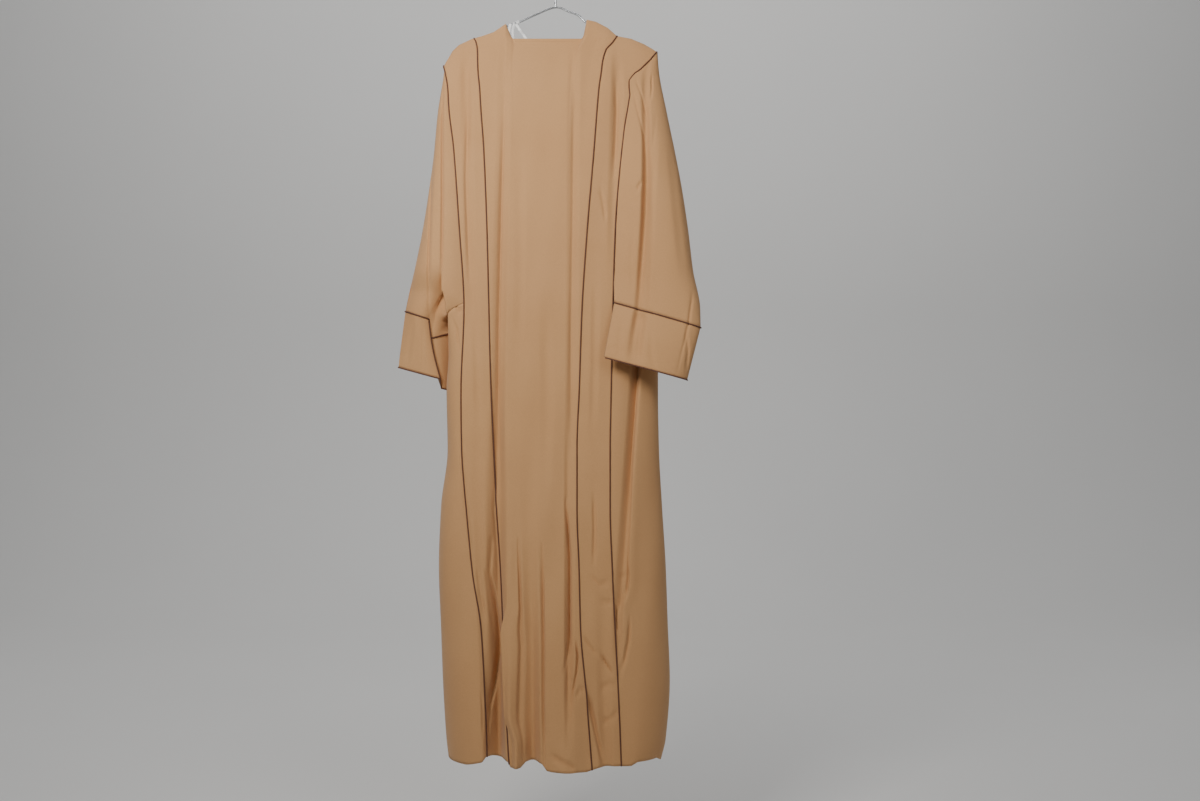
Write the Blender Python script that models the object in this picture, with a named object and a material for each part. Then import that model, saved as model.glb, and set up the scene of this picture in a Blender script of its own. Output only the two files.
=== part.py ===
"""A long, open abaya cloak hanging on a wire hanger. The origin is where the hook rests on its rail.
The closed back faces -Y and the open front faces +Y. Drops are measured down from the origin."""

import math

import bmesh
import bpy
from mathutils import Vector

MM = 0.001

# Cloth and trim
CLOTH = 1.5
SEAM_GAP = 0.2
HIDDEN_SEAM_GAP = 1.0
UNDERARM_GAP = 5.0
CUFF_SEAM_GAP = 0.7
SHOULDER_SLOPE = (0, 0.42, 0.9075)
PIPING_RADIUS = 1.2
PIPING_CLEAR = 0.35
CUFF_PIPING_CLEAR = 0.5
VALLEY_PIPING_CLEAR = 1.8

HEM_PIPING_BELOW = 0.6

# How the back and fronts curve across, and how far the neckline stands away
CROWN_MIDDLE = -15.0
CROWN_HALF = 215.0
CROWN_FALL = 0.22
CROWN_WHOLE_AT = 300.0
FOLDS_WHOLE_AT = 120.0
LEAST_DEPTH = 0.9
NECK_STAND_OFF = 14.0
NECK_END_STAND_OFF = 3.0

# The left sleeve's back edge is held flat where it passes behind the body
HELD_WIDTH = 0.2
HELD_FROM = 0.84
VALLEY_SAG = 0.45
CUFF_VALLEY_SPREAD = 1.7
SLEEVE_END_APART = 1.2

# Heights of the whole, as drops below the hook's seat
LEVEL_ROWS_FROM = 420.0
UNDERARM = 654.0
HEM = 1530.0
ROWS = [0, 3, 12, 30, 60, 100, 150, 210, 280, 350, 420, 500, 580, UNDERARM,
        700, 760, 820, 890, 960, 1030, 1100, 1170, 1240, 1310, 1380, 1450, HEM]

# Seams of the back: the drop, then where each seam lies across the garment
BACK_SEAMS = [
    # drop, outer_left, inner_left, inner_right, outer_right
    (132, -217, -161, 120, 198),
    (146, -217, -154, 111, 198),
    (162, -217, -151, 98, 198),
    (189, -217, -150, 91, 165),
    (207, -213, -149, 89, 149),
    (235, -208, -146, 85, 143),
    (280, -205, -143, 81, 139),
    (359, -195, -137, 75, 129),
    (514, -183, -130, 62, 116),
    (668, -174, -126, 52, 111),
    (821, -179, -122, 47, 108),
    (936, -177, -117, 43, 106),
    (1049, -168, -111, 43, 106),
    (1162, -156, -103, 47, 110),
    (1274, -139, -97, 50, 115),
    (1386, -132, -92, 60, 121),
    (1530, -127, -84, 72, 127),
]
SEAM_COLUMN = {"outer_left": 1, "inner_left": 2, "inner_right": 3, "outer_right": 4}

# The open front's two edges
FRONT_EDGES = [
    # drop, left, right
    (99, -97, 61),
    (150, -91, 57),
    (250, -76, 43),
    (450, -60, 26),
    (800, -46, 10),
    (1200, -40, 2),
    (1530, -37, -2),
]

# How far the garment stands out to each side
SIDES = [
    # drop, body_left, body_right, sleeve_left, sleeve_right
    (162, -205, 198, -214, 199),
    (201, -205, 198, -217, 202),
    (280, -205, 198, -229, 217),
    (359, -205, 198, -237, 233),
    (436, -205, 198, -247, 247),
    (514, -205, 198, -260, 258),
    (591, -205, 198, -276, 266),
    (667, -206, 199, -293, 278),
    (745, -207, 200, -305, 277),
    (821, -212, 200, -305, 277),
    (936, -210, 202, -305, 277),
    (1049, -223, 208, -305, 277),
    (1162, -227, 215, -305, 277),
    (1274, -223, 219, -305, 277),
    (1386, -219, 223, -305, 277),
    (1497, -212, 215, -305, 277),
    (1530, -208, 207, -305, 277),
]

# Half depths of the hollow, by distance below the top edge
DEPTHS = [
    # below_top, back, front
    (0, 0.9, 0.9),
    (3, 5.0, 5.0),
    (12, 7.8, 7.8),
    (30, 11, 11),
    (60, 15, 14),
    (100, 20, 18),
    (150, 25, 22),
    (210, 30, 26),
    (300, 36, 31),
    (450, 43, 37),
    (690, 51, 44),
    (936, 61, 52),
    (1162, 76, 62),
    (1386, 91, 73),
    (1530, 100, 80),
]

# Top edge of the back: across, and its drop. The notch in the middle is the neckline.
BACK_TOP = [
    # across, drop
    (-217, 189), (-213, 180), (-202, 160), (-190, 148), (-167, 137), (-143, 131), (-120, 123),
    (-97, 107), (-83, 138), (53, 138), (61, 99), (79, 103), (102, 115), (120, 131),
    (149, 136), (173, 146), (190, 156), (198, 162),
]
NECK_LEFT = -97.0
NECK_RIGHT = 61.0
CORNER_LEFT = -83.0
CORNER_RIGHT = 53.0

FRONT_TOPS = {
    "left": [NECK_LEFT, -112, -135, -161, -176, -190, -205, -217],
    "right": [NECK_RIGHT, 79, 100, 120, 140, 160, 180, 198],
}

# Folds that run down the cloth. A positive depth goes inward, a negative one is a ridge.
BACK_FOLDS = [
    # top_drop, top_x, low_drop, low_x, depth_top, depth_low, reach_left, reach_right
    (200, -96, 900, -108, 3, 9, 18, 15),
    (860, -107, 1530, -106, 4, 46, 27, 19),
    (1180, -72, 1530, -70, 2, -12, 11, 12),
    (1080, -46, 1530, -40, 3, 26, 22, 19),
    (1150, 18, 1530, 24, 2, -10, 38, 44),
    (180, 37, 830, 33, 3, 5, 14, 14),
    (1000, 26, 1360, 27, 4, 10, 9, 14),
    (240, 120, 470, 112, 5, 4, 14, 16),
    (230, -172, 620, -160, 5, 3, 15, 13),
    (770, 160, 1250, 124, 27, 12, 30, 9),
    (1290, 92, 1530, 98, 2, 9, 16, 18),
    (1000, -146, 1500, -122, 2, 8, 14, 12),
]
FRONT_FOLDS = [
    # top_drop, top_x, low_drop, low_x, depth_top, depth_low, reach_left, reach_right
    (260, -140, 1530, -112, 3, 30, 18, 26),
    (480, 70, 1530, 52, 3, 28, 20, 20),
    (700, -85, 1530, -72, 2, -12, 16, 18),
    (820, 112, 1530, 104, 2, 20, 24, 16),
    (260, 130, 700, 118, 5, 5, 16, 16),
    (900, -160, 1530, -150, 3, 18, 20, 20),
    (950, 22, 1530, 22, 2, -9, 12, 16),
]
FOLD_FADE = 150.0

# Wire hanger
WIRE_RADIUS = 2.0
WIRE_UNDER_SHOULDER = 5.5
WIRE_GAP = 0.3
HOOK_RADIUS = 16.0
APEX_DROP = 75.0
OPEN_ARM_LEFT = [(-0.2, 75), (-8, 76), (-38, 89), (-69, 103)]
OPEN_ARM_RIGHT = [(0.2, 75), (8, 76), (28, 84), (46, 91.5)]
SHOULDER_LEFT = [-97, -112, -135, -161, -178]
SHOULDER_RIGHT = [61, 79, 100, 120, 140, 160, 168]
BAR_BEND_LEFT = [(-184, 155), (-187, 162), (-181, 169), (-160, 172)]
BAR_BEND_RIGHT = [(148, 172), (168, 169), (175, 162), (174, 155)]


# Ribbon hanging loop: its strands as across, depth and drop
RIBBON_WIDTH = 5.0
RIBBON_THICKNESS = 0.8
KNOT_RADIUS = 1.3
RIBBON_KNOT = (-74, 0, -104.8)
RIBBONS = {
    "ribbon_outer_strand": [(-87, -3.1, 109.5), (-87, -3.4, 122), (-86, -4.2, 134), (-85, -5.6, 150)],
    "ribbon_inner_strand": [(-77, -5.2, 111), (-70, -5.4, 120), (-62, -5.8, 131), (-55, -6.1, 141), (-51, -6.2, 150)],
}


def table_value(table, at, column):
    """Straight-line reading of a table whose first column rises."""
    if at <= table[0][0]:
        return table[0][column]
    for low, high in zip(table, table[1:]):
        if at <= high[0]:
            share = (at - low[0]) / (high[0] - low[0])
            return low[column] + (high[column] - low[column]) * share
    return table[-1][column]


def smooth_step(value):
    value = max(0.0, min(1.0, value))
    return value * value * (3 - 2 * value)


def fold_depth(folds, across, drop):
    """Sum of the folds at one place, in millimetres inward."""
    total = 0.0
    for top_drop, top_x, low_drop, low_x, depth_top, depth_low, reach_left, reach_right in folds:
        share = max(0.0, min(1.0, (drop - top_drop) / (low_drop - top_drop)))
        centre = top_x + (low_x - top_x) * share
        depth = depth_top + (depth_low - depth_top) * share
        reach = reach_left if across < centre else reach_right
        off = abs(across - centre) / reach
        if off >= 1:
            continue
        fade = smooth_step((drop - top_drop + FOLD_FADE) / FOLD_FADE)
        if low_drop < HEM:
            fade *= smooth_step((low_drop + FOLD_FADE - drop) / FOLD_FADE)
        total += depth * fade * 0.5 * (1 + math.cos(math.pi * off))
    return total


def seam_x(name, drop):
    return table_value(BACK_SEAMS, drop, SEAM_COLUMN[name])


def row_drop(top, level):
    """Rows follow the top edge near the shoulders and lie level further down."""
    return level + top * max(0.0, 1 - level / LEVEL_ROWS_FROM)


def panel_depth(folds, column, across, drop, level, at_neck):
    """How far the back or a front stands out from the middle plane."""
    fall = CROWN_FALL * ((across - CROWN_MIDDLE) / CROWN_HALF) ** 2
    crown = 1 - fall * smooth_step(level / CROWN_WHOLE_AT)
    inward = fold_depth(folds, across, drop) * smooth_step(level / FOLDS_WHOLE_AT)
    return max(LEAST_DEPTH, table_value(DEPTHS, max(level, at_neck), column) * crown - inward)


def back_depth(across, drop, level, at_neck=0.0):
    return panel_depth(BACK_FOLDS, 1, across, drop, level, at_neck)


def front_depth(across, drop, level, at_neck=0.0):
    return panel_depth(FRONT_FOLDS, 2, across, drop, level, at_neck)


def level_of(drop, top):
    """The level whose row passes through a drop, under a given top edge."""
    if drop >= LEVEL_ROWS_FROM:
        return drop
    return (drop - top) / (1 - top / LEVEL_ROWS_FROM)


def nudged(row, first, last):
    """A row of points whose ends are drawn in by the given distances."""
    out = [Vector(p) for p in row]
    out[0] += (out[1] - out[0]).normalized() * first
    out[-1] += (out[-2] - out[-1]).normalized() * last
    return out


def back_panel(left, right, shares, tops, necks):
    """Grid of the back between two seams. Shares place the columns at the top edge."""
    rows = []
    for level in ROWS:
        row = []
        for share, top, neck in zip(shares, tops, necks):
            drop = row_drop(top, level)
            across_left = seam_x(left, drop)
            across = across_left + (seam_x(right, drop) - across_left) * share
            row.append((across, -back_depth(across, drop, level, neck), -drop))
        rows.append(row)
    return rows


def front_panel(side):
    """Grid of one open front, from its free edge to the seam under the arm."""
    edge_column = 1 if side == "left" else 2
    seam = "outer_" + side
    tops = FRONT_TOPS[side]
    rows = []
    for level in ROWS:
        row = []
        for across_top in tops:
            share = (across_top - tops[0]) / (tops[-1] - tops[0])
            drop = row_drop(table_value(BACK_TOP, across_top, 1), level)
            edge = table_value(FRONT_EDGES, drop, edge_column)
            across = edge + (seam_x(seam, drop) - edge) * share
            at_neck = NECK_END_STAND_OFF if share == 0 else 0.0
            row.append((across, front_depth(across, drop, level, at_neck), -drop))
        rows.append(row)
    return rows


def side_point(side, turn, drop, level):
    """Point of the side panel: turn goes from 0 at the back seam to 180 at the front seam."""
    seam = seam_x("outer_" + side, drop)
    reach = table_value(SIDES, drop, 1 if side == "left" else 2) - seam
    angle = math.radians(turn)
    across = seam + reach * math.sin(angle)
    if turn <= 90:
        depth = -back_depth(seam, drop, level)
        fold = fold_depth(BACK_FOLDS, across, drop) - fold_depth(BACK_FOLDS, seam, drop)
    else:
        depth = -front_depth(seam, drop, level)
        fold = fold_depth(FRONT_FOLDS, across, drop) - fold_depth(FRONT_FOLDS, seam, drop)
    return Vector((across, (depth + fold) * math.cos(angle), -drop))


# How the side panel's top edge slopes from the back seam to the front seam
FRONT_UNDERARM = {"left": 704.0, "right": 540.0}


def side_top(side, turn):
    return UNDERARM + (FRONT_UNDERARM[side] - UNDERARM) * turn / 180


def side_panel(side):
    turns = [0, 20, 38, 54, 68, 80, 90, 100, 112, 126, 142, 160, 180]
    below = [level for level in ROWS if level > 710]
    rows = []
    edge = [side_point(side, turn, side_top(side, turn) + UNDERARM_GAP, side_top(side, turn)) for turn in turns]
    rows.append(edge)
    middle = []
    for turn in turns:
        drop = (side_top(side, turn) + below[0]) / 2
        middle.append(side_point(side, turn, drop, drop))
    rows.append(middle)
    for level in below:
        rows.append([side_point(side, turn, level, level) for turn in turns])
    return rows


# The sleeves: how each row's outer fold moves, and how far its walls bulge, by share of the length
SLEEVE_ROWS = {
    # share, outer_y, back_bulge, front_bulge, valley_depth, valley_x
    "right": [
        (0.0, 0, 0, 0, 0, 178),
        (0.2, -2, 8, 8, 6, 175),
        (0.4, -6, 18, 10, 12, 176),
        (0.6, -14, 26, 12, 14, 174),
        (0.8, -34, 32, 10, 12, 168),
        (1.0, -72, 26, 2, 8, 160),
    ],
    "left": [
        (0.0, 0, 0, 0, 0, -215),
        (0.2, 0, 3, 6, 2, -216),
        (0.4, 1, 6, 10, 6, -220),
        (0.6, 2, 10, 12, 14, -226),
        (0.8, 4, 18, 14, 22, -231),
        (1.0, 4, 30, 14, 27, -235),
    ],
}
SLEEVE_END = {
    # outer_x, outer_drop
    "right": (277, 703),
    "left": (-293, 667),
}
SLEEVE_TOP = {"right": (199, 163), "left": (-218, 190)}
VALLEY_REACH = 11.0
CUFF_LIFT = 0.1
TURN_ROUND = 0.8
ARMHOLE_TOP = {"right": 162.0, "left": 189.0}
SLEEVE_FROM = {"right": 12, "left": 30}
CUFF_STAND_OFF = {"right": Vector((9, -7, 0)), "left": Vector((-8, 5, 0))}


def armhole_rows(side):
    """Drops of the back seam's rows from the sleeve's first row to the underarm, with the level of each."""
    top = ARMHOLE_TOP[side]
    return [(row_drop(top, level), level) for level in ROWS if SLEEVE_FROM[side] <= level <= UNDERARM]


def front_seam_point(side, drop):
    level = level_of(drop, ARMHOLE_TOP[side])
    across = seam_x("outer_" + side, drop)
    return Vector((across, front_depth(across, drop, level), -drop))


def back_seam_point(side, drop, level):
    across = seam_x("outer_" + side, drop)
    return Vector((across, -back_depth(across, drop, level), -drop))


def stood_off(side, found):
    """The last row moved a little off the body, where the cuff begins."""
    share, back, front = found[-1]
    found[-1] = (share, back + CUFF_STAND_OFF[side], front + CUFF_STAND_OFF[side])
    return found


def sleeve_edges(side):
    """For each row of the sleeve: its share of the length, its edge on the back and on the front."""
    rows = armhole_rows(side)
    top = ARMHOLE_TOP[side]
    found = []
    if side == "right":
        seam = [((drop - top) / (UNDERARM - top), back_seam_point(side, drop, level)) for drop, level in rows]
        last_share, last_point = seam[-1]
        before_share, before_point = seam[-2]
        steps = [
            (before_share + (last_share - before_share) * part, before_point.lerp(last_point, part))
            for part in (0.2, 0.4, 0.6, 0.8)
        ]
        for share, back in seam[:-1] + steps + seam[-1:]:
            if share < TURN_ROUND:
                front = front_seam_point(side, top + (FRONT_UNDERARM[side] - top) * share / TURN_ROUND)
            else:
                turn = 180 * (1 - (share - TURN_ROUND) / (1 - TURN_ROUND))
                front = side_point(side, turn, side_top(side, turn), side_top(side, turn))
            found.append((share, back, front))
        return stood_off(side, found)
    for drop, level in rows:
        share = TURN_ROUND * (drop - top) / (UNDERARM - top)
        front = front_seam_point(side, top + (FRONT_UNDERARM[side] - top) * share)
        found.append((share, back_seam_point(side, drop, level), front))
    for step in range(1, 6):
        turn = 36 * step
        share = TURN_ROUND + (1 - TURN_ROUND) * step / 5
        back = side_point(side, turn, side_top(side, turn), side_top(side, turn))
        found.append((share, back, front_seam_point(side, top + (FRONT_UNDERARM[side] - top) * share)))
    return stood_off(side, found)


def sleeve_row(side, share, back, front, count=11):
    """One row of a sleeve, from its back edge round the outer fold to its front edge."""
    table = SLEEVE_ROWS[side]
    outer_y = table_value(table, share, 1)
    back_bulge = table_value(table, share, 2)
    front_bulge = table_value(table, share, 3)
    valley = table_value(table, share, 4)
    valley_x = table_value(table, share, 5)
    top_x, top_drop = SLEEVE_TOP[side]
    end_drop = SLEEVE_END[side][1]
    outer_drop = top_drop + (end_drop - top_drop) * share
    outer_x = table_value(SIDES, outer_drop, 3 if side == "left" else 4)
    outer = Vector((outer_x, outer_y, -outer_drop))
    row = []
    for column in range(count):
        part = column / count
        angle = part * math.pi / 2
        bulge = back_bulge * math.sin(math.pi * part)
        if side == "left":
            held = HELD_WIDTH * smooth_step((share - HELD_FROM) / (1 - HELD_FROM))
            bulge *= smooth_step((part - held + 0.01) / HELD_WIDTH) if held else 1.0
        point = Vector((
            back.x + (outer.x - back.x) * math.sin(angle),
            back.y + (outer.y - back.y) * (1 - math.cos(angle)) - bulge,
            back.z + (outer.z - back.z) * math.sin(angle),
        ))
        off = min(1.0, abs(point.x - valley_x) / VALLEY_REACH)
        dip = 0.5 * (1 + math.cos(math.pi * off)) * smooth_step(part * 4) * smooth_step((1 - part) * 4)
        point.y += valley * dip
        point.z -= VALLEY_SAG * valley * dip if side == "left" else 0.0
        row.append(point)
    for column in range(count + 1):
        part = column / count
        angle = part * math.pi / 2
        row.append(Vector((
            outer.x + (front.x - outer.x) * (1 - math.cos(angle)),
            outer.y + (front.y - outer.y) * math.sin(angle) + front_bulge * math.sin(math.pi * part),
            outer.z + (front.z - outer.z) * (1 - math.cos(angle)),
        )))
    return row


def sleeve_rows(side):
    """The sleeve's grid. Its last row is closed and ends at the cuff seam."""
    rows = [sleeve_row(side, *edges) for edges in sleeve_edges(side)]
    last = rows[-1]
    meet = (last[0] + last[-1]) / 2
    apart = Vector((0, SLEEVE_END_APART, 0))
    last[0] = meet - apart
    last[-1] = meet + apart
    return rows


CUFF_HEM = {
    # inner_x, inner_y, inner_drop, outer_x, outer_y, outer_drop, back_bulge, front_bulge, valley, valley_x
    "right": (94, -80, 759, 252, -78, 802, 24, 18, 0, 170),
    "left": (-196, 54, 824, -307, 6, 776, 30, 16, 6, -240),
}


def cuff_hem_ring(side, count=11):
    inner_x, inner_y, inner_drop, outer_x, outer_y, outer_drop, back, front, valley, valley_x = CUFF_HEM[side]
    ring = []
    for column in range(count):
        part = column / count
        across = inner_x + (outer_x - inner_x) * math.sin(part * math.pi / 2)
        bulge = back * math.sin(math.pi * part)
        if side == "left":
            bulge *= smooth_step((part - HELD_WIDTH) / HELD_WIDTH)
        depth = inner_y + (outer_y - inner_y) * part - bulge
        drop = inner_drop + (outer_drop - inner_drop) * math.sin(part * math.pi / 2)
        off = min(1.0, abs(across - valley_x) / (VALLEY_REACH * CUFF_VALLEY_SPREAD))
        dip = 0.5 * (1 + math.cos(math.pi * off))
        ring.append(Vector((across, depth + valley * dip, -drop + CUFF_LIFT * valley * dip)))
    for column in range(count + 1):
        part = column / count
        across = outer_x + (inner_x - outer_x) * (1 - math.cos(part * math.pi / 2))
        depth = outer_y + (inner_y - outer_y) * part + front * math.sin(math.pi * part)
        drop = outer_drop + (inner_drop - outer_drop) * part
        ring.append(Vector((across, depth, -drop)))
    return ring


def cuff_rows(side, count=5):
    """Rings of the cuff band, from its seam on the sleeve to its hem."""
    seam = sleeve_rows(side)[-1]
    hem = cuff_hem_ring(side)
    closed_seam = seam[:-1]
    closed_hem = hem[:-1]
    rows = []
    for step in range(count + 1):
        share = step / count
        ring = []
        for top, low in zip(closed_seam, closed_hem):
            start = top + (low - top).normalized() * CUFF_SEAM_GAP
            ring.append(start.lerp(low, share))
        rows.append(ring)
    return rows


def material(name, colour, roughness, metallic=0.0):
    made = bpy.data.materials.new(name)
    made.use_nodes = True
    shader = made.node_tree.nodes["Principled BSDF"]
    shader.inputs["Base Color"].default_value = (*colour, 1.0)
    shader.inputs["Roughness"].default_value = roughness
    shader.inputs["Metallic"].default_value = metallic
    return made


def add_object(name, data, paint):
    made = bpy.data.objects.new(name, data)
    cloak.objects.link(made)
    data.materials.append(material(name, *paint))
    return made


def grid_normals(rows, closed=False):
    """Direction square to the surface at each point of a grid, pointing out of the garment."""
    last_row = len(rows) - 1
    width = len(rows[0])
    found = []
    for r, row in enumerate(rows):
        upper = rows[max(r - 1, 0)]
        lower = rows[min(r + 1, last_row)]
        line = []
        for c in range(width):
            before = (c - 1) % width if closed else max(c - 1, 0)
            after = (c + 1) % width if closed else min(c + 1, width - 1)
            down = Vector(lower[c]) - Vector(upper[c])
            across = Vector(row[after]) - Vector(row[before])
            line.append(down.cross(across).normalized())
        found.append(line)
    return found


def cloth(name, rows, normals, paint, closed=False, thickness=CLOTH):
    """A wall of cloth: the outer surface goes through the rows, and the inner one lies a thickness inside it."""
    mesh = bpy.data.meshes.new(name)
    grid = bmesh.new()
    width = len(rows[0])
    outer = [[grid.verts.new(Vector(p) * MM) for p in row] for row in rows]
    inner = [
        [grid.verts.new((Vector(p) - n * thickness) * MM) for p, n in zip(row, line)]
        for row, line in zip(rows, normals)
    ]
    columns = range(width if closed else width - 1)
    for r in range(len(rows) - 1):
        for c in columns:
            d = (c + 1) % width
            grid.faces.new([outer[r][c], outer[r + 1][c], outer[r + 1][d], outer[r][d]])
            grid.faces.new([inner[r][c], inner[r][d], inner[r + 1][d], inner[r + 1][c]])
    for c in columns:
        d = (c + 1) % width
        grid.faces.new([outer[0][c], outer[0][d], inner[0][d], inner[0][c]])
        grid.faces.new([outer[-1][c], inner[-1][c], inner[-1][d], outer[-1][d]])
    if not closed:
        for r in range(len(rows) - 1):
            grid.faces.new([outer[r][0], inner[r][0], inner[r + 1][0], outer[r + 1][0]])
            grid.faces.new([outer[r][-1], outer[r + 1][-1], inner[r + 1][-1], inner[r][-1]])
    grid.to_mesh(mesh)
    grid.free()
    return add_object(name, mesh, paint)


def tube(name, points, radius, paint, sides=1):
    """A round wire or piping along a run of points."""
    curve = bpy.data.curves.new(name, "CURVE")
    curve.dimensions = "3D"
    curve.bevel_depth = radius * MM
    curve.bevel_resolution = sides
    curve.use_fill_caps = True
    line = curve.splines.new("POLY")
    line.points.add(len(points) - 1)
    for slot, point in zip(line.points, points):
        slot.co = (*(Vector(point) * MM), 1.0)
    return add_object(name, curve, paint)


def smooth_line(points, steps):
    """Rounded line through the given points."""
    line = []
    last = len(points) - 1
    for index in range(last):
        before = Vector(points[max(index - 1, 0)])
        start = Vector(points[index])
        end = Vector(points[index + 1])
        after = Vector(points[min(index + 2, last)])
        for step in range(steps):
            t = step / steps
            line.append(0.5 * (2 * start + (end - before) * t
                               + (2 * before - 5 * start + 4 * end - after) * t * t
                               + (3 * start - before - 3 * end + after) * t * t * t))
    line.append(Vector(points[-1]))
    return line


def seam_piping(name, rows, normals, column, clear=PIPING_CLEAR, start=1):
    """Piping that lies on a seam, made from the panel's own points moved out."""
    out = PIPING_RADIUS + clear
    points = [Vector(row[column]) + line[column] * out for row, line in zip(rows, normals)]
    return tube(name, points[start:], PIPING_RADIUS, PIPING, sides=0)


# Start from an empty scene
for old in list(bpy.data.objects):
    bpy.data.objects.remove(old, do_unlink=True)

cloak = bpy.data.collections.new("abaya_cloak")
bpy.context.scene.collection.children.link(cloak)

CAMEL = ((0.50, 0.31, 0.17), 0.85)
PIPING = ((0.10, 0.035, 0.018), 0.7)
RIBBON = ((0.75, 0.75, 0.73), 0.5)
CHROME = ((0.62, 0.63, 0.65), 0.25, 1.0)

# Back of the body: one surface, cut at its two inner seams
centre_tops = [-161, -135, -112, NECK_LEFT, CORNER_LEFT, -58, -34, -10, 14, 34, CORNER_RIGHT,
               NECK_RIGHT, 79, 100, 120]
side_tops = {"left": [-217, -205, -190, -176, -161], "right": [120, 140, 160, 180, 198]}
side_seams = {"left": ("outer_left", "inner_left"), "right": ("inner_right", "outer_right")}


def shares_of(tops):
    return [(x - tops[0]) / (tops[-1] - tops[0]) for x in tops]


def plain_back(side):
    tops = side_tops[side]
    drops = [table_value(BACK_TOP, x, 1) for x in tops]
    return back_panel(*side_seams[side], shares_of(tops), drops, [0.0] * len(tops))


def neck_stand_off(across):
    """The neckline stands away from the middle plane; its ends do so a little, and the shoulders not."""
    if CORNER_LEFT <= across <= CORNER_RIGHT:
        return NECK_STAND_OFF
    return NECK_END_STAND_OFF if across in (NECK_LEFT, NECK_RIGHT) else 0.0


centre = back_panel(
    "inner_left", "inner_right", shares_of(centre_tops),
    [table_value(BACK_TOP, x, 1) for x in centre_tops],
    [neck_stand_off(x) for x in centre_tops],
)
side_back = {side: plain_back(side) for side in ("left", "right")}
whole_back = [
    left + middle[1:] + right[1:]
    for left, middle, right in zip(side_back["left"], centre, side_back["right"])
]
back_normals = grid_normals(whole_back)
for column, point in enumerate(whole_back[0]):
    at_neck = NECK_LEFT - 1 < point[0] < NECK_RIGHT + 1
    back_normals[0][column] = Vector((0, -1, 0)) if at_neck else Vector((0, -SHOULDER_SLOPE[1], SHOULDER_SLOPE[2]))
left_seam = len(side_tops["left"]) - 1
right_seam = left_seam + len(centre_tops) - 1


def cut_cloth(name, grid_rows, normals, first, last, ends=(SEAM_GAP, SEAM_GAP)):
    rows = [nudged(row[first:last + 1], *ends) for row in grid_rows]
    cloth(name, rows, [line[first:last + 1] for line in normals], CAMEL)


cut_cloth("back_side_panel_left", whole_back, back_normals, 0, left_seam)
cut_cloth("back_centre_panel", whole_back, back_normals, left_seam, right_seam)
cut_cloth("back_side_panel_right", whole_back, back_normals, right_seam, len(whole_back[0]) - 1)

# Sides, open fronts, sleeves and cuffs. Rows run from the back round the side to the front.
sides = {}
fronts = {}
front_grids = {}
sleeves = {}
cuffs = {}
cuff_grids = {}
for side in ("left", "right"):
    turned = side == "left"
    fronts[side] = front_panel(side)
    front_rows = fronts[side]
    if side == "right":
        front_rows = [row[::-1] for row in front_rows]
    front_normals = grid_normals(front_rows)
    front_normals[0] = [Vector(SHOULDER_SLOPE) for _ in front_normals[0]]
    front_normals[0][0 if turned else -1] = Vector((0, 1, 0))
    front_grids[side] = (front_rows, front_normals)
    ends = (0, SEAM_GAP) if turned else (SEAM_GAP, 0)
    cut_cloth("front_panel_" + side, front_rows, front_normals, 0, len(front_rows[0]) - 1, ends)

    sides[side] = side_panel(side)
    side_rows = [row[::-1] if turned else row for row in sides[side]]
    side_normals = grid_normals(side_rows)
    below = len([level for level in ROWS if level > 710])
    under = ROWS.index(UNDERARM)
    back_column, front_column = (-1, 0) if turned else (0, -1)
    for count in range(1, below + 1):
        side_normals[-count][back_column] = back_normals[-count][0 if turned else -1]
        side_normals[-count][front_column] = front_normals[-count][-1 if turned else 0]
    for row in (0, 1):
        side_normals[row][back_column] = back_normals[under + row][0 if turned else -1]
        side_normals[row][front_column] = front_normals[under + row][-1 if turned else 0]
    cut_cloth("side_panel_" + side, side_rows, side_normals, 0, len(side_rows[0]) - 1)

    sleeves[side] = sleeve_rows(side)
    sleeve = [row[::-1] if turned else row for row in sleeves[side]]
    ends = (HIDDEN_SEAM_GAP, SEAM_GAP) if turned else (SEAM_GAP, HIDDEN_SEAM_GAP)
    cut_cloth("sleeve_" + side, sleeve, grid_normals(sleeve), 0, len(sleeve[0]) - 1, ends)

    cuffs[side] = cuff_rows(side)
    cuff = [ring[::-1] if turned else ring for ring in cuffs[side]]
    cuff_grids[side] = (cuff, grid_normals(cuff, True))
    cloth("cuff_" + side, *cuff_grids[side], CAMEL, closed=True)

# Piping on the seams and edges
seam_piping("piping_back_outer_left", whole_back, back_normals, 0)
seam_piping("piping_back_inner_left", whole_back, back_normals, left_seam, VALLEY_PIPING_CLEAR)
seam_piping("piping_back_inner_right", whole_back, back_normals, right_seam)
seam_piping("piping_back_outer_right", whole_back, back_normals, -1)
for side in ("left", "right"):
    turned = side == "left"
    front_rows, front_normals = front_grids[side]
    seam_piping("piping_front_edge_" + side, front_rows, front_normals, 0 if turned else -1)
    seam_piping("piping_front_outer_" + side, front_rows, front_normals, -1 if turned else 0, 1.0)


def cuff_seam_piping(side):
    """Piping round the outside of the cuff's upper seam."""
    ring, normals = cuff_grids[side]
    out = PIPING_RADIUS + CUFF_PIPING_CLEAR
    points = [Vector(p) + n * out for p, n in zip(ring[0], normals[0])]
    tube("piping_cuff_seam_" + side, points[2:-1], PIPING_RADIUS, PIPING, sides=0)


def cuff_hem_piping(side):
    """Piping under the cuff's hem."""
    ring, normals = cuff_grids[side]
    down = Vector((0, 0, -(PIPING_RADIUS + PIPING_CLEAR + HEM_PIPING_BELOW)))
    points = [Vector(p) - n * CLOTH / 2 + down for p, n in zip(ring[-1], normals[-1])]
    tube("piping_cuff_hem_" + side, points[1:], PIPING_RADIUS, PIPING, sides=0)


for side in ("left", "right"):
    cuff_seam_piping(side)
    cuff_hem_piping(side)


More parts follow.
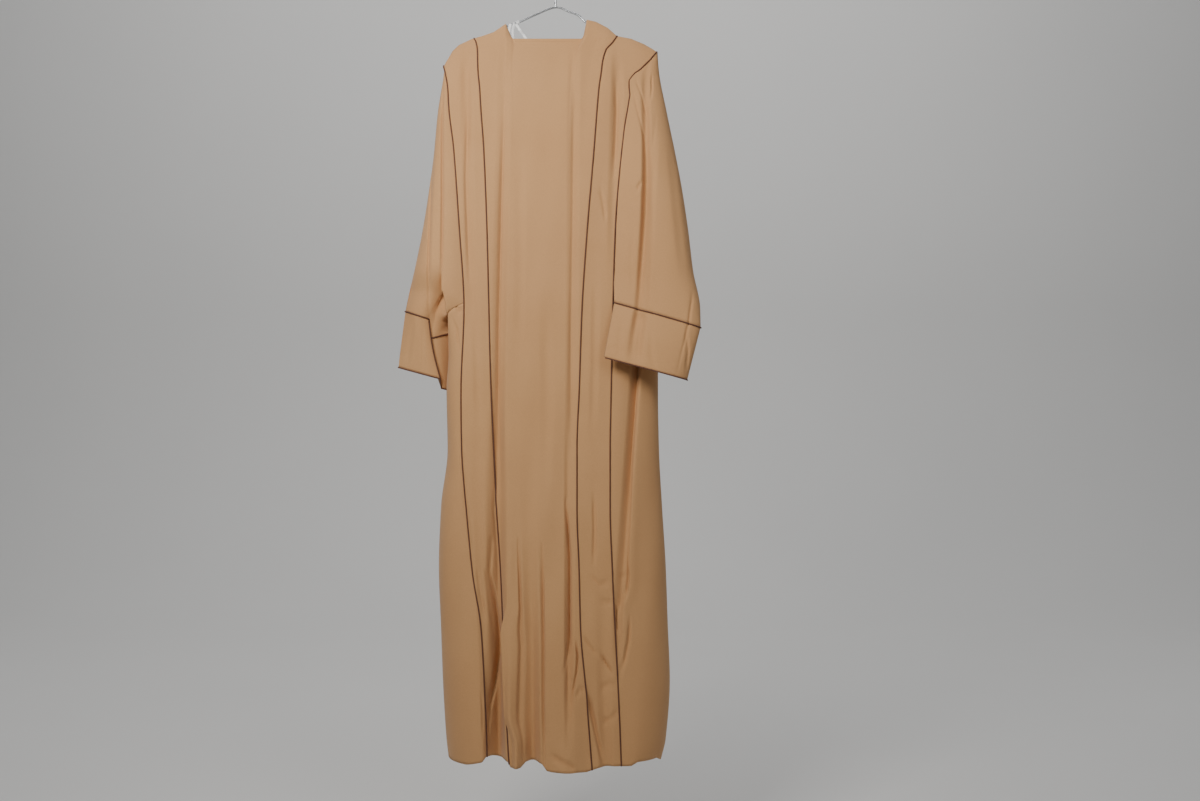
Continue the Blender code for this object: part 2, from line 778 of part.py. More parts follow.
# White ribbon loop, knotted round the wire at the left of the neck
def ribbon(name, run, width):
    """A flat ribbon facing the back, along a run of (across, depth, drop)."""
    rows = []
    for x, depth, drop in run:
        rows.append([Vector((x - width / 2, depth, -drop)), Vector((x + width / 2, depth, -drop))])
    cloth(name, rows, [[Vector((0, -1, 0))] * 2 for _ in rows], RIBBON, thickness=RIBBON_THICKNESS)


for name, run in RIBBONS.items():
    ribbon(name, run, RIBBON_WIDTH)

knot_at, knot_along = Vector(RIBBON_KNOT), Vector((-28, 0, -9))
bpy.ops.mesh.primitive_torus_add(
    major_segments=16, minor_segments=6, major_radius=(WIRE_RADIUS + WIRE_GAP + KNOT_RADIUS) * MM,
    minor_radius=KNOT_RADIUS * MM, location=knot_at * MM,
    rotation=knot_along.to_track_quat("Z", "Y").to_euler(),
)
knot = bpy.context.object
knot.name = "ribbon_knot"
knot.data.materials.append(material("ribbon_knot", *RIBBON))
for holder in list(knot.users_collection):
    holder.objects.unlink(knot)
cloak.objects.link(knot)

# Wire hanger: two arms under the shoulders, the bar between them, and the hook
def under_shoulder(places):
    """Wire's centre line below the cloth's top edge, square to its slope."""
    line = []
    drops = [table_value(BACK_TOP, x, 1) for x in places]
    last = len(places) - 1
    for index, (x, drop) in enumerate(zip(places, drops)):
        low, high = max(index - 1, 0), min(index + 1, last)
        along = Vector((places[high] - places[low], 0, drops[low] - drops[high])).normalized()
        normal = Vector((along.z, 0, -along.x))
        if normal.z > 0:
            normal = -normal
        line.append(Vector((x, 0, -drop)) + normal * WIRE_UNDER_SHOULDER)
    return line


def in_plane(flat):
    return [Vector((x, 0, -drop)) for x, drop in flat]


left_arm = smooth_line(in_plane(OPEN_ARM_LEFT), 3) + under_shoulder(SHOULDER_LEFT)
right_arm = smooth_line(in_plane(OPEN_ARM_RIGHT), 3) + under_shoulder(SHOULDER_RIGHT)
tube("hanger_arm_left", left_arm, WIRE_RADIUS, CHROME)
tube("hanger_arm_right", right_arm, WIRE_RADIUS, CHROME)

left_way = (left_arm[-1] - left_arm[-2]).normalized()
right_way = (right_arm[-1] - right_arm[-2]).normalized()
bar_start = left_arm[-1] + left_way * WIRE_GAP
bar_end = right_arm[-1] + right_way * WIRE_GAP
bar_bends = in_plane(BAR_BEND_LEFT) + in_plane(BAR_BEND_RIGHT)
bar_run = smooth_line([bar_start + 3 * left_way] + bar_bends + [bar_end + 3 * right_way], 3)
tube("hanger_bar", [bar_start] + bar_run + [bar_end], WIRE_RADIUS, CHROME)

hook = [(0, 0, -APEX_DROP + WIRE_RADIUS + WIRE_GAP), (0, 0, -62), (0, 0, -48)]
for turn in range(-60, 181, 20):
    angle = math.radians(turn)
    hook.append((
        (HOOK_RADIUS + WIRE_RADIUS) * math.cos(angle),
        0,
        -HOOK_RADIUS + (HOOK_RADIUS + WIRE_RADIUS) * math.sin(angle),
    ))
tube("hanger_hook", hook, WIRE_RADIUS, CHROME)
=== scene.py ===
# Abaya cloak on a wire hanger: cloth, piping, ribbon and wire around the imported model.
# Lengths in the tables are millimetres. A drop is measured down from the hook's seat.
import math

import bpy
import numpy as np
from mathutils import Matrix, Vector


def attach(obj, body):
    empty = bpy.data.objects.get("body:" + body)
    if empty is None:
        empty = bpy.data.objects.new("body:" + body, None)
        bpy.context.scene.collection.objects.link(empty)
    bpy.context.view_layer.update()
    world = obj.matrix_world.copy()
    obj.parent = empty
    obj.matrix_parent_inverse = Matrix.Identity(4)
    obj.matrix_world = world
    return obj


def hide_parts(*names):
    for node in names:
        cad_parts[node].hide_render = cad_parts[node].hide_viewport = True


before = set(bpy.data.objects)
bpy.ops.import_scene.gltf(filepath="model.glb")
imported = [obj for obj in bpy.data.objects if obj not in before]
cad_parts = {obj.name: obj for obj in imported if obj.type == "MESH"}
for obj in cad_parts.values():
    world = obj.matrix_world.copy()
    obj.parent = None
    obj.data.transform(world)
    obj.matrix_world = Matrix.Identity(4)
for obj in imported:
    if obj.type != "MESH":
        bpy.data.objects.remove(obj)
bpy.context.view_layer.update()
bpy.ops.object.select_all(action="DESELECT")
mm = 0.001

# Camera: level, a little to the right of the hook, as in the photograph
cameraPlace = {"x": 0.0868, "distance": 2.6, "height": -0.8414, "lens": 40.0}
bpy.ops.object.camera_add(
    location=(cameraPlace["x"], -cameraPlace["distance"], cameraPlace["height"]),
    rotation=(math.pi / 2, 0, 0),
)
camera = bpy.context.object
camera.data.lens = cameraPlace["lens"]
camera.data.sensor_width = 36
camera.data.sensor_fit = "HORIZONTAL"
bpy.context.scene.camera = camera
print("camera placed")

# The garment's form: seams, sides, depths and top edge, as on the solids
body = {
    "levelFrom": 420.0,
    "underarm": 654.0,
    "hem": 1530.0,
    "rowStep": 6.0,
    "closeRows": [0, 1, 2, 3.5, 5.5, 8, 12],
    "thickness": 0.7,
    "crownDrop": 0.22, "crownX": -15.0, "crownHalf": 215.0, "crownFrom": 300.0,
    "foldsWholeAt": 120.0, "leastDepth": 0.9, "settledAt": 60.0,
    # drop, outerLeft, innerLeft, innerRight, outerRight
    "seams": [
        (132, -217, -161, 120, 198), (146, -217, -154, 111, 198), (162, -217, -151, 98, 198),
        (189, -217, -150, 91, 165), (207, -213, -149, 89, 149), (235, -208, -146, 85, 143),
        (280, -205, -143, 81, 139), (359, -195, -137, 75, 129), (514, -183, -130, 62, 116),
        (668, -174, -126, 52, 111), (821, -179, -122, 47, 108), (936, -177, -117, 43, 106),
        (1049, -168, -111, 43, 106), (1162, -156, -103, 47, 110), (1274, -139, -97, 50, 115),
        (1386, -132, -92, 60, 121), (1530, -127, -84, 72, 127),
    ],
    # drop, left, right
    "frontEdges": [
        (99, -97, 61), (150, -91, 57), (250, -76, 43), (450, -60, 26), (800, -46, 10),
        (1200, -40, 2), (1530, -37, -2),
    ],
    # drop, bodyLeft, bodyRight, sleeveLeft, sleeveRight
    "sides": [
        (162, -205, 198, -214, 199), (201, -205, 198, -217, 202), (280, -205, 198, -229, 217),
        (359, -205, 198, -237, 233), (436, -205, 198, -247, 247), (514, -205, 198, -260, 258),
        (591, -205, 198, -276, 266), (667, -206, 199, -293, 278), (745, -207, 200, -305, 277),
        (821, -212, 200, -305, 277), (936, -210, 202, -305, 277), (1049, -223, 208, -305, 277),
        (1162, -227, 215, -305, 277), (1274, -223, 219, -305, 277), (1386, -219, 223, -305, 277),
        (1497, -212, 215, -305, 277), (1530, -208, 207, -305, 277),
    ],
    # below the top edge, back, front
    "depths": [
        (0, 0.9, 0.9), (3, 5, 5), (12, 7.8, 7.8), (30, 11, 11), (60, 15, 14), (100, 20, 18),
        (150, 25, 22), (210, 30, 26), (300, 36, 31), (450, 43, 37), (690, 51, 44),
        (936, 61, 52), (1162, 76, 62), (1386, 91, 73), (1530, 100, 80),
    ],
    # across, drop of the top edge
    "top": [
        (-217, 189), (-213, 180), (-202, 160), (-190, 148), (-167, 137), (-143, 131),
        (-120, 123), (-97, 107), (-83, 138), (53, 138), (61, 99), (79, 103), (102, 115),
        (120, 131), (149, 136), (173, 146), (190, 156), (198, 162),
    ],
    "corners": (-83, 53),
}
seamColumn = {"outerLeft": 1, "innerLeft": 2, "innerRight": 3, "outerRight": 4}

# The right sleeve's seam has small bends of its own at the shoulder
shoulderBends = {
    # drop, across
    "run": [
        (132, 198), (162, 198), (180, 184), (191, 173), (201, 163.5), (204, 157), (213, 149), (222, 143),
        (235, 143), (251, 144.5), (266, 142), (282, 139.5), (300, 136), (330, 131), (359, 129),
    ],
    "until": (350, 60),
}

# Long folds: topDrop, topX, lowDrop, lowX, topDepth, lowDepth, reachLeft, reachRight. Ridges are negative.
backFolds = [
    (200, -96, 900, -108, 3, 9, 18, 15),
    (860, -107, 1530, -106, 4, 46, 27, 19),
    (1180, -72, 1530, -70, 2, -12, 11, 12),
    (1080, -46, 1530, -40, 3, 26, 22, 19),
    (1150, 18, 1530, 24, 2, -10, 38, 44),
    (180, 37, 830, 33, 3, 5, 14, 14),
    (1000, 26, 1360, 27, 4, 10, 9, 14),
    (240, 120, 470, 112, 5, 4, 14, 16),
    (230, -172, 620, -160, 5, 3, 15, 13),
    (770, 160, 1250, 124, 9, 6, 16, 8),
    (1290, 92, 1530, 98, 2, 9, 16, 18),
    (1000, -146, 1500, -122, 2, 8, 14, 12),
]
frontFolds = [
    (260, -140, 1530, -112, 3, 30, 18, 26),
    (480, 70, 1530, 52, 3, 28, 20, 20),
    (700, -85, 1530, -72, 2, -12, 16, 18),
    (820, 112, 1530, 104, 2, 20, 24, 16),
    (260, 130, 700, 118, 5, 5, 16, 16),
    (900, -160, 1530, -150, 3, 18, 20, 20),
    (950, 22, 1530, 22, 2, -9, 12, 16),
]
foldFade = 150.0


def curve(table, at, column):  # smooth line through a table, with no overshoot
    xs = np.array([row[0] for row in table], float)
    ys = np.array([row[column] for row in table], float)
    steps = np.diff(xs)
    rises = np.diff(ys) / steps
    slopes = np.zeros(len(xs))
    slopes[0], slopes[-1] = rises[0], rises[-1]
    same = rises[:-1] * rises[1:] > 0
    a, b = rises[:-1][same], rises[1:][same]
    slopes[1:-1][same] = 2 * a * b / (a + b)
    at = np.clip(np.asarray(at, float), xs[0], xs[-1])
    k = np.clip(np.searchsorted(xs, at, side="right") - 1, 0, len(steps) - 1)
    h = steps[k]
    t = (at - xs[k]) / h
    return (
        (2 * t**3 - 3 * t**2 + 1) * ys[k] + (t**3 - 2 * t**2 + t) * h * slopes[k]
        + (3 * t**2 - 2 * t**3) * ys[k + 1] + (t**3 - t**2) * h * slopes[k + 1]
    )


def line(table, at, column):
    return np.interp(at, [row[0] for row in table], [row[column] for row in table])


def smooth(value):
    value = np.clip(value, 0, 1)
    return value * value * (3 - 2 * value)


def rise(value, start, over):  # from 0 at the start to 1
    return smooth((value - start) / over)


def fall(value, end, over):  # from 1 to 0 at the end
    return smooth((end - value) / over)


def bell(off):
    return 0.5 * (1 + np.cos(np.pi * np.minimum(off, 1)))


def pointsOf(across, depth, height):
    return np.stack(np.broadcast_arrays(across, depth, height), axis=-1)


def unit(ways):
    return ways / np.maximum(np.linalg.norm(ways, axis=-1, keepdims=True), 1e-9)


def foldDepth(folds, across, drop):
    total = np.zeros(np.broadcast(across, drop).shape)
    for topDrop, topX, lowDrop, lowX, topDepth, lowDepth, reachLeft, reachRight in folds:
        share = np.clip((drop - topDrop) / (lowDrop - topDrop), 0, 1)
        centre = topX + (lowX - topX) * share
        off = np.abs(across - centre) / np.where(across < centre, reachLeft, reachRight)
        fade = rise(drop, topDrop - foldFade, foldFade)
        if lowDrop < body["hem"]:
            fade = fade * fall(drop, lowDrop + foldFade, foldFade)
        depth = topDepth + (lowDepth - topDepth) * share
        total = total + depth * fade * bell(off)
    return total


def seamX(name, drop):
    along = curve(body["seams"], drop, seamColumn[name])
    if name == "outerRight":
        bent = line(shoulderBends["run"], drop, 1)
        along = along + (bent - along) * fall(np.asarray(drop, float), *shoulderBends["until"])
    return along


def rowDrop(top, level):
    return level + top * np.maximum(0, 1 - level / body["levelFrom"])


def levelOf(drop, top):
    return np.where(drop >= body["levelFrom"], drop, (drop - top) / (1 - top / body["levelFrom"]))


def depthAt(folds, column, across, drop, level, atNeck=0.0):
    offCrown = (across - body["crownX"]) / body["crownHalf"]
    crown = 1 - body["crownDrop"] * offCrown**2 * smooth(level / body["crownFrom"])
    table = [(math.sqrt(row[0]), row[1], row[2]) for row in body["depths"]]
    plain = curve(table, np.sqrt(np.maximum(level, atNeck)), column)
    inward = foldDepth(folds, across, drop) * smooth(level / body["foldsWholeAt"])
    return np.maximum(body["leastDepth"], plain * crown - inward)


def backDepth(across, drop, level, atNeck=0.0):
    return depthAt(backFolds, 1, across, drop, level, atNeck)


def frontDepth(across, drop, level, atNeck=0.0):
    return depthAt(frontFolds, 2, across, drop, level, atNeck)


def levels(step):
    close, hem = body["closeRows"], body["hem"]
    return np.array(close + list(np.arange(close[-1] + step, hem - step / 2, step)) + [hem])


# Creases pressed into the cloth: a run of (across, drop), depth inward, reach to each side, how sharp
backCreases = [
    # the deep valley beside the inner left seam, and the small creases that run into it
    ([(-119, 1107), (-124, 1173), (-114, 1220), (-104, 1295), (-104, 1323), (-115, 1388), (-124, 1429),
      (-126, 1510)], 11, 10, 5, 1),
    ([(-97, 1323), (-93, 1407), (-88, 1472), (-86, 1522)], 4, 5, 4, 1),
    ([(-134, 1144), (-124, 1220), (-114, 1295)], 3.5, 6, 6, 1),
    ([(-112, 974), (-115, 1050), (-109, 1144), (-107, 1220)], 4, 6, 5, 1),
    ([(-138, 1388), (-134, 1429), (-134, 1481)], 3, 5, 4, 1),
    ([(-148, 1150), (-140, 1210), (-128, 1262)], 2, 6, 5, 1),
    # the two walls of the middle fold
    ([(-69, 1107), (-65, 1220), (-59, 1304), (-59, 1407), (-58, 1525)], 7, 3.5, 8, 1),
    ([(-22, 1116), (-19, 1295), (-19, 1407), (-17, 1525)], 6, 8, 3.5, 1),
    # beside the inner right seam
    ([(22, 1031), (30, 1135), (30, 1295), (24, 1328), (19, 1355)], 8.2, 6, 3, 1),
    ([(41, 1295), (45, 1323), (43, 1351), (38, 1379), (32, 1410)], 6.8, 4, 3, 1),
    ([(40, 1401), (49, 1388), (60, 1384)], 3.5, 5, 6, 1),
    ([(62, 1388), (70, 1429), (81, 1477), (92, 1525)], 7.5, 4, 9, 1),
    # wrinkles between the two right seams
    ([(89, 1323), (100, 1341), (111, 1356)], 6, 4, 3.5, 1),
    ([(87, 1222), (98, 1222), (111, 1227)], 3.5, 6, 6, 1),
    ([(57, 1291), (68, 1308), (83, 1323)], 3.9, 5, 4, 1),
    ([(92, 1449), (108, 1442), (119, 1429)], 4, 6, 7, 1),
    ([(87, 1388), (104, 1377), (119, 1382)], 3.2, 6, 7, 1),
    ([(68, 1173), (87, 1192), (106, 1182)], 2.7, 6, 5, 0),
    # right of the outer right seam
    ([(144, 1254), (142, 1295), (134, 1332), (125, 1358)], 6, 7, 5, 1),
    ([(119, 1231), (117, 1254), (119, 1280)], 6.8, 4, 4, 1),
    ([(123, 1180), (132, 1177), (142, 1171)], 3, 6, 6, 1),
    # at the hem
    ([(-7, 1500), (12, 1510), (30, 1518), (44, 1528)], 4.5, 8, 9, 0),
    # long soft ones, from the shoulders down
    ([(75, 1021), (77, 1088), (75, 1154)], 3.5, 6, 6, 0),
    ([(118, 225), (120, 280), (118, 339), (114, 407)], 3.8, 9, 6, 1),
    ([(87, 433), (94, 466), (98, 498)], 2, 6, 5, 0),
    ([(71, 143), (91, 141), (114, 136)], 1.6, 4, 4, 1),
    ([(-97, 251), (-102, 456), (-107, 706), (-108, 936)], 4, 8, 3.5, 1),
    ([(36, 221), (35, 456), (31, 706), (30, 898)], 1.8, 6, 9, 1),
    ([(-168, 260), (-171, 417), (-164, 610)], 3.5, 6, 6, 1),
    ([(-191, 658), (-183, 672), (-174, 666)], 4.5, 5, 4, 1),
    ([(-197, 683), (-187, 706), (-183, 745)], 3, 5, 4, 1),
    ([(-67, 359), (-65, 572), (-68, 764)], 1.4, 16, 14, 0),
    ([(-17, 649), (-13, 840), (-18, 1031)], 1.6, 16, 16, 0),
    ([(-182, 898), (-170, 1031), (-154, 1163)], 2, 8, 7, 0),
    ([(78, 620), (76, 760), (72, 900)], 1.8, 10, 12, 0),
    ([(-152, 640), (-150, 760), (-146, 880)], 1.8, 10, 12, 0),
]


creaseEnds = {"fade": 4, "least": 0.25}


def press(points, creases, strength=1.0):  # how far the creases push the cloth away from the viewer
    across, drop = points[..., 0].copy(), -points[..., 2]
    inward = np.zeros(across.shape)
    for run, depth, reachLeft, reachRight, sharp in creases:
        run = np.array(run, float)
        lengths = np.hypot(*np.diff(run, axis=0).T)
        total = lengths.sum()
        nearest = np.full(across.shape, 1e9)
        signed = np.zeros(across.shape)
        along = np.zeros(across.shape)
        begun = 0.0
        for (x0, d0), (x1, d1), length in zip(run, run[1:], lengths):
            t = np.clip(((across - x0) * (x1 - x0) + (drop - d0) * (d1 - d0)) / length**2, 0, 1)
            offX, offD = across - x0 - t * (x1 - x0), drop - d0 - t * (d1 - d0)
            away = np.hypot(offX, offD)
            closer = away < nearest
            nearest = np.where(closer, away, nearest)
            signed = np.where(closer, offX * (d1 - d0) - offD * (x1 - x0), signed)
            along = np.where(closer, begun + t * length, along)
            begun += length
        off = np.minimum(nearest / np.where(signed < 0, reachLeft, reachRight), 1)
        shape = bell(off)
        if sharp:
            shape = 0.5 * shape + 0.5 * (1 - off) ** 2
        fade, least = creaseEnds["fade"], creaseEnds["least"]
        ends = smooth(along / total * fade) * smooth((1 - along / total) * fade)
        inward += depth * strength * shape * (least + (1 - least) * ends)
    return inward


rng = np.random.default_rng(7)
unevenWaves = [
    (rng.uniform(0.004, 0.017), rng.uniform(-0.004, 0.004), rng.uniform(0, 6.3), rng.uniform(0.15, 0.55))
    for _ in range(12)
]


def uneven(across, drop):  # slight unevenness of hanging cloth, as long soft waves
    total = np.zeros(across.shape)
    for acrossRate, downRate, start, height in unevenWaves:
        total += height * np.sin(across * acrossRate * 2 * np.pi + drop * downRate * 2 * np.pi + start)
    return total


pucker = {
    "height": 0.28, "reach": 7.0, "from": (150, 80),
    # length, start, height
    "waves": [(9.3, 1.0, 1.0), (5.1, 2.3, 0.7), (21.0, 1.0, 0.5)],
}


def seamPucker(offSeam, drop, seed):  # small ripples beside a sewn seam
    ripple = sum(height * np.sin(drop / length + start * seed) for length, start, height in pucker["waves"])
    return pucker["height"] * ripple * np.exp(-np.abs(offSeam) / pucker["reach"])


# Materials
mixDark, mixLight, mixResult = 6, 7, 2  # the colour sockets of a mix node


def newMaterial(name):
    made = bpy.data.materials.new(name)
    made.use_nodes = True
    tree = made.node_tree
    return made, tree, tree.nodes["Principled BSDF"], tree.nodes.new("ShaderNodeTexCoord").outputs


def fill(tree, made, inputs):
    for key, value in inputs.items():
        if isinstance(value, bpy.types.NodeSocket):
            tree.links.new(value, made.inputs[key])
        else:
            made.inputs[key].default_value = value


def node(tree, kind, inputs, **settings):
    made = tree.nodes.new("ShaderNode" + kind)
    for key, value in settings.items():
        setattr(made, key, value)
    fill(tree, made, inputs)
    return made.outputs


def noise(tree, place, scale, detail):
    return node(tree, "TexNoise", {"Vector": place, "Scale": scale, "Detail": detail})["Fac"]


def combined(tree, operation, first, second):
    return node(tree, "Math", {0: first, 1: second}, operation=operation)["Value"]


def ranged(tree, value, low, high):
    return node(tree, "MapRange", {"Value": value, "To Min": low, "To Max": high})["Result"]


def tinted(tree, share, look, tone=1.0):
    dark, light = [[c * tone for c in look[key]] + [1] for key in ("dark", "light")]
    return node(tree, "Mix", {"Factor": share, mixDark: dark, mixLight: light}, data_type="RGBA")[mixResult]


def wave(tree, place, scale, bend, way, **more):
    inputs = {"Vector": place, "Scale": scale, "Distortion": bend, **more}
    return node(tree, "TexWave", inputs, bands_direction=way)["Fac"]


def dress(tree, shader, look, colour, rough, height):
    strength, distance = look["bump"]
    bump = node(tree, "Bump", {"Height": height, "Strength": strength, "Distance": distance})
    fill(tree, shader, {"Base Color": colour, "Roughness": ranged(tree, rough, *look["rough"]),
                        "Normal": bump["Normal"], **look["plain"]})


clothLook = {
    "light": (0.635, 0.35, 0.155), "dark": (0.555, 0.292, 0.124),
    "threadsPerMetre": 1500, "threadScale": 0.31, "bend": 1.2, "slubScale": 0.35,
    "cloudScale": 7.0, "speckScale": 420.0, "speck": (0.93, 1.07), "thread": (0.94, 1.05),
    "rough": (0.82, 0.95), "bump": (0.35, 0.0004),
    "plain": {"Sheen Weight": 0.12, "Sheen Roughness": 0.5, "Specular IOR Level": 0.2},
}


def clothMaterial(name, tone=1.0):
    made, tree, shader, place = newMaterial(name)
    cloud = noise(tree, place["Object"], clothLook["cloudScale"], 3.0)
    heather = noise(tree, place["Object"], clothLook["speckScale"], 2.0)
    count = clothLook["threadsPerMetre"]
    stretch = node(tree, "Mapping", {"Vector": place["UV"], "Scale": (count, count, 1)})["Vector"]
    slub = noise(tree, stretch, clothLook["slubScale"], 4.0)
    warp, weft = [
        wave(tree, stretch, clothLook["threadScale"], clothLook["bend"], way, Detail=1.0) for way in "XY"
    ]
    weave = combined(tree, "MULTIPLY", warp, weft)
    speckle = ranged(tree, heather, *clothLook["speck"])
    threads = ranged(tree, weave, *clothLook["thread"])
    shade = combined(tree, "MULTIPLY", speckle, threads)
    tint = tinted(tree, cloud, clothLook, tone)
    colour = node(tree, "VectorMath", {0: tint, "Scale": shade}, operation="SCALE")["Vector"]
    dress(tree, shader, clothLook, colour, slub, combined(tree, "ADD", weave, slub))
    return made


pipingLook = {
    "light": (0.20, 0.072, 0.032), "dark": (0.085, 0.028, 0.013), "turn": (0, 0.7, 0),
    "twistScale": 130.0, "fibreScale": 900.0, "rough": (0.55, 0.8), "bump": (0.6, 0.0005),
    "plain": {"Sheen Weight": 0.1},
}


def pipingMaterial():
    made, tree, shader, place = newMaterial("dark brown twisted piping")
    turned = node(tree, "Mapping", {"Vector": place["Object"], "Rotation": pipingLook["turn"]})["Vector"]
    twist = wave(tree, turned, pipingLook["twistScale"], 0.6, "Z")
    fibre = noise(tree, place["Object"], pipingLook["fibreScale"], 2.0)
    mixed = combined(tree, "MULTIPLY", twist, fibre)
    dress(tree, shader, pipingLook, tinted(tree, mixed, pipingLook), fibre, mixed)
    return made


ribbonLook = {
    "light": (0.93, 0.93, 0.91), "dark": (0.80, 0.80, 0.78), "ribScale": 700.0, "shadeScale": 60.0,
    "rough": (0.35, 0.5), "bump": (0.3, 0.0002), "plain": {"Anisotropic": 0.4},
}


def ribbonMaterial():
    made, tree, shader, place = newMaterial("white satin ribbon")
    ribs = wave(tree, place["Object"], ribbonLook["ribScale"], 0.5, "X")
    shade = noise(tree, place["Object"], ribbonLook["shadeScale"], 2.0)
    dress(tree, shader, ribbonLook, tinted(tree, shade, ribbonLook), ribs, ribs)
    return made


wireLook = {
    "light": (0.78, 0.79, 0.80), "dark": (0.50, 0.51, 0.53), "drawn": (1, 14, 14), "markScale": 60.0,
    "rough": (0.16, 0.34), "bump": (0.15, 0.0002), "plain": {"Metallic": 1.0},
}


def wireMaterial():
    made, tree, shader, place = newMaterial("bright drawn wire")
    drawn = node(tree, "Mapping", {"Vector": place["Object"], "Scale": wireLook["drawn"]})["Vector"]
    marks = noise(tree, drawn, wireLook["markScale"], 4.0)
    dress(tree, shader, wireLook, tinted(tree, marks, wireLook), marks, marks)
    return made


camelCloth = clothMaterial("camel crepe")
cuffCloth = clothMaterial("camel crepe of the cuffs", 0.98)
brownPiping = pipingMaterial()
whiteRibbon = ribbonMaterial()
brightWire = wireMaterial()
print("materials made")


# Sheets of cloth from grids of points
def normalsOf(grid, closed=False):
    if closed:
        across = np.roll(grid, -1, axis=1) - np.roll(grid, 1, axis=1)
    else:
        across = np.gradient(grid, axis=1)
    return unit(np.cross(np.gradient(grid, axis=0), across))


seamGap = 0.2


def drawIn(grid, left, right):  # the two edges of a panel move in from its seams
    grid = grid.copy()
    for edge, beside, gap in ((0, 1, left), (-1, -2, right)):
        grid[:, edge] += unit(grid[:, beside] - grid[:, edge]) * gap
    return grid


def sheetOf(name, grid, gaps=(seamGap, seamGap), material=camelCloth, closed=False,
            thickness=body["thickness"], nodes=None):
    grid = drawIn(grid, *gaps)
    rowCount, width = grid.shape[:2]
    rows, columns = np.meshgrid(
        np.arange(rowCount - 1), np.arange(width if closed else width - 1), indexing="ij")
    downCorners = np.stack([rows, rows + 1, rows + 1, rows], axis=-1)
    acrossCorners = np.stack([columns, columns, columns + 1, columns + 1], axis=-1)
    mesh = bpy.data.meshes.new(name)
    faces = (downCorners * width + acrossCorners % width).reshape(-1, 4)
    mesh.from_pydata((grid.reshape(-1, 3) * mm).tolist(), [], faces.tolist())
    steps = np.linalg.norm(np.diff(grid, axis=1), axis=2).mean(axis=0)
    if closed:
        steps = np.append(steps, np.linalg.norm(grid[:, 0] - grid[:, -1], axis=1).mean())
    placeAcross = np.concatenate([[0], np.cumsum(steps)]) * mm
    steps = np.linalg.norm(np.diff(grid, axis=0), axis=2).mean(axis=1)
    placeDown = np.concatenate([[0], np.cumsum(steps)]) * mm
    places = np.stack([placeAcross[acrossCorners], placeDown[downCorners]], axis=-1)
    layer = mesh.uv_layers.new(name="cloth")
    layer.data.foreach_set("uv", places.reshape(-1).astype(np.float32))
    piece = bpy.data.objects.new(name, mesh)
    bpy.context.collection.objects.link(piece)
    mesh.materials.append(material)
    wall = piece.modifiers.new("wall", "SOLIDIFY")
    wall.thickness = thickness * mm
    wall.offset = -1
    settle(piece, nodes, [wall])
    print(name, "made")


def finish(piece, modifiers=()):
    bpy.ops.object.select_all(action="DESELECT")
    piece.select_set(True)
    bpy.context.view_layer.objects.active = piece
    for modifier in modifiers:
        bpy.ops.object.modifier_apply(modifier=modifier.name)
    bpy.ops.object.shade_smooth()
    piece.select_set(False)


def settle(piece, nodes, modifiers=()):  # without a list of nodes, it stands for the node of its name
    finish(piece, modifiers)
    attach(piece, "root")
    if nodes is None:
        nodes = ["".join("_" + letter.lower() if letter.isupper() else letter for letter in piece.name)]
    if nodes:
        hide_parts(*nodes)


# Back of the body, one surface cut at its two inner seams
back = {
    # across at the top edge, and how many columns reach it from the one before
    "left": [(-217, 0), (-202, 10), (-161, 20)],
    "centre": [(-161, 0), (-97, 34), (-83, 10), (53, 74), (61, 8), (120, 32)],
    "right": [(120, 0), (198, 36)],
    "neckStandOff": 14.0,
    "creaseStrength": 1.25,
    "overhang": 13.0, "leanFrom": (1225, 60), "leanTo": (1490, 60), "leanReach": 9.0,
    "leanAcross": (48, 30),
    "liftFrom": (1395, 135),
    # how far the folds lift the hem: across, height
    "hemLift": [
        (-300, 0), (-165, 1), (-135, 8), (-128, 16), (-118, 13), (-105, 8), (-92, 12), (-86, 10),
        (-81, 0), (-62, 0), (-53, 8), (-30, 8), (-22, 7), (-17, 0), (-13, -6), (-4, -8), (62, -9),
        (84, -2), (110, 0), (146, 0), (158, 6), (195, 5), (204, -4), (300, -4),
    ],
}


def hemLift(grid):
    grid[..., 2] += line(back["hemLift"], grid[..., 0], 1) * rise(-grid[..., 2], *back["liftFrom"])


def spread(marks):
    places = [float(marks[0][0])]
    for (before, _), (after, count) in zip(marks, marks[1:]):
        places += list(np.linspace(before, after, count + 1)[1:])
    return np.array(places)


def backGrid(leftSeam, rightSeam, tops):
    shares = (tops - tops[0]) / (tops[-1] - tops[0])
    topDrop = line(body["top"], tops, 1)
    leftCorner, rightCorner = body["corners"]
    atNeck = np.where((tops >= leftCorner) & (tops <= rightCorner), back["neckStandOff"], 0.0)
    level = levels(body["rowStep"])[:, None]
    drop = rowDrop(topDrop[None, :], level)
    left = seamX(leftSeam, drop)
    across = left + (seamX(rightSeam, drop) - left) * shares[None, :]
    depth = backDepth(across, drop, level, atNeck[None, :])
    grid = pointsOf(across, -depth, -drop)
    pressed = press(grid, backCreases, back["creaseStrength"]) + uneven(across, drop)
    grid[..., 1] += pressed * smooth(level / body["settledAt"])
    hemLift(grid)
    return grid


grids = {
    "left": backGrid("outerLeft", "innerLeft", spread(back["left"])),
    "centre": backGrid("innerLeft", "innerRight", spread(back["centre"])),
    "right": backGrid("innerRight", "outerRight", spread(back["right"])),
}
for grid, seeds in zip(grids.values(), ((1.0, 2.0), (2.0, 3.0), (3.0, 4.0))):
    drop = -grid[..., 2]
    for edge, seed in zip((0, -1), seeds):
        offSeam = grid[..., 0] - grid[:, edge, 0][:, None]
        grid[..., 1] += seamPucker(offSeam, drop, seed) * rise(drop, *pucker["from"])

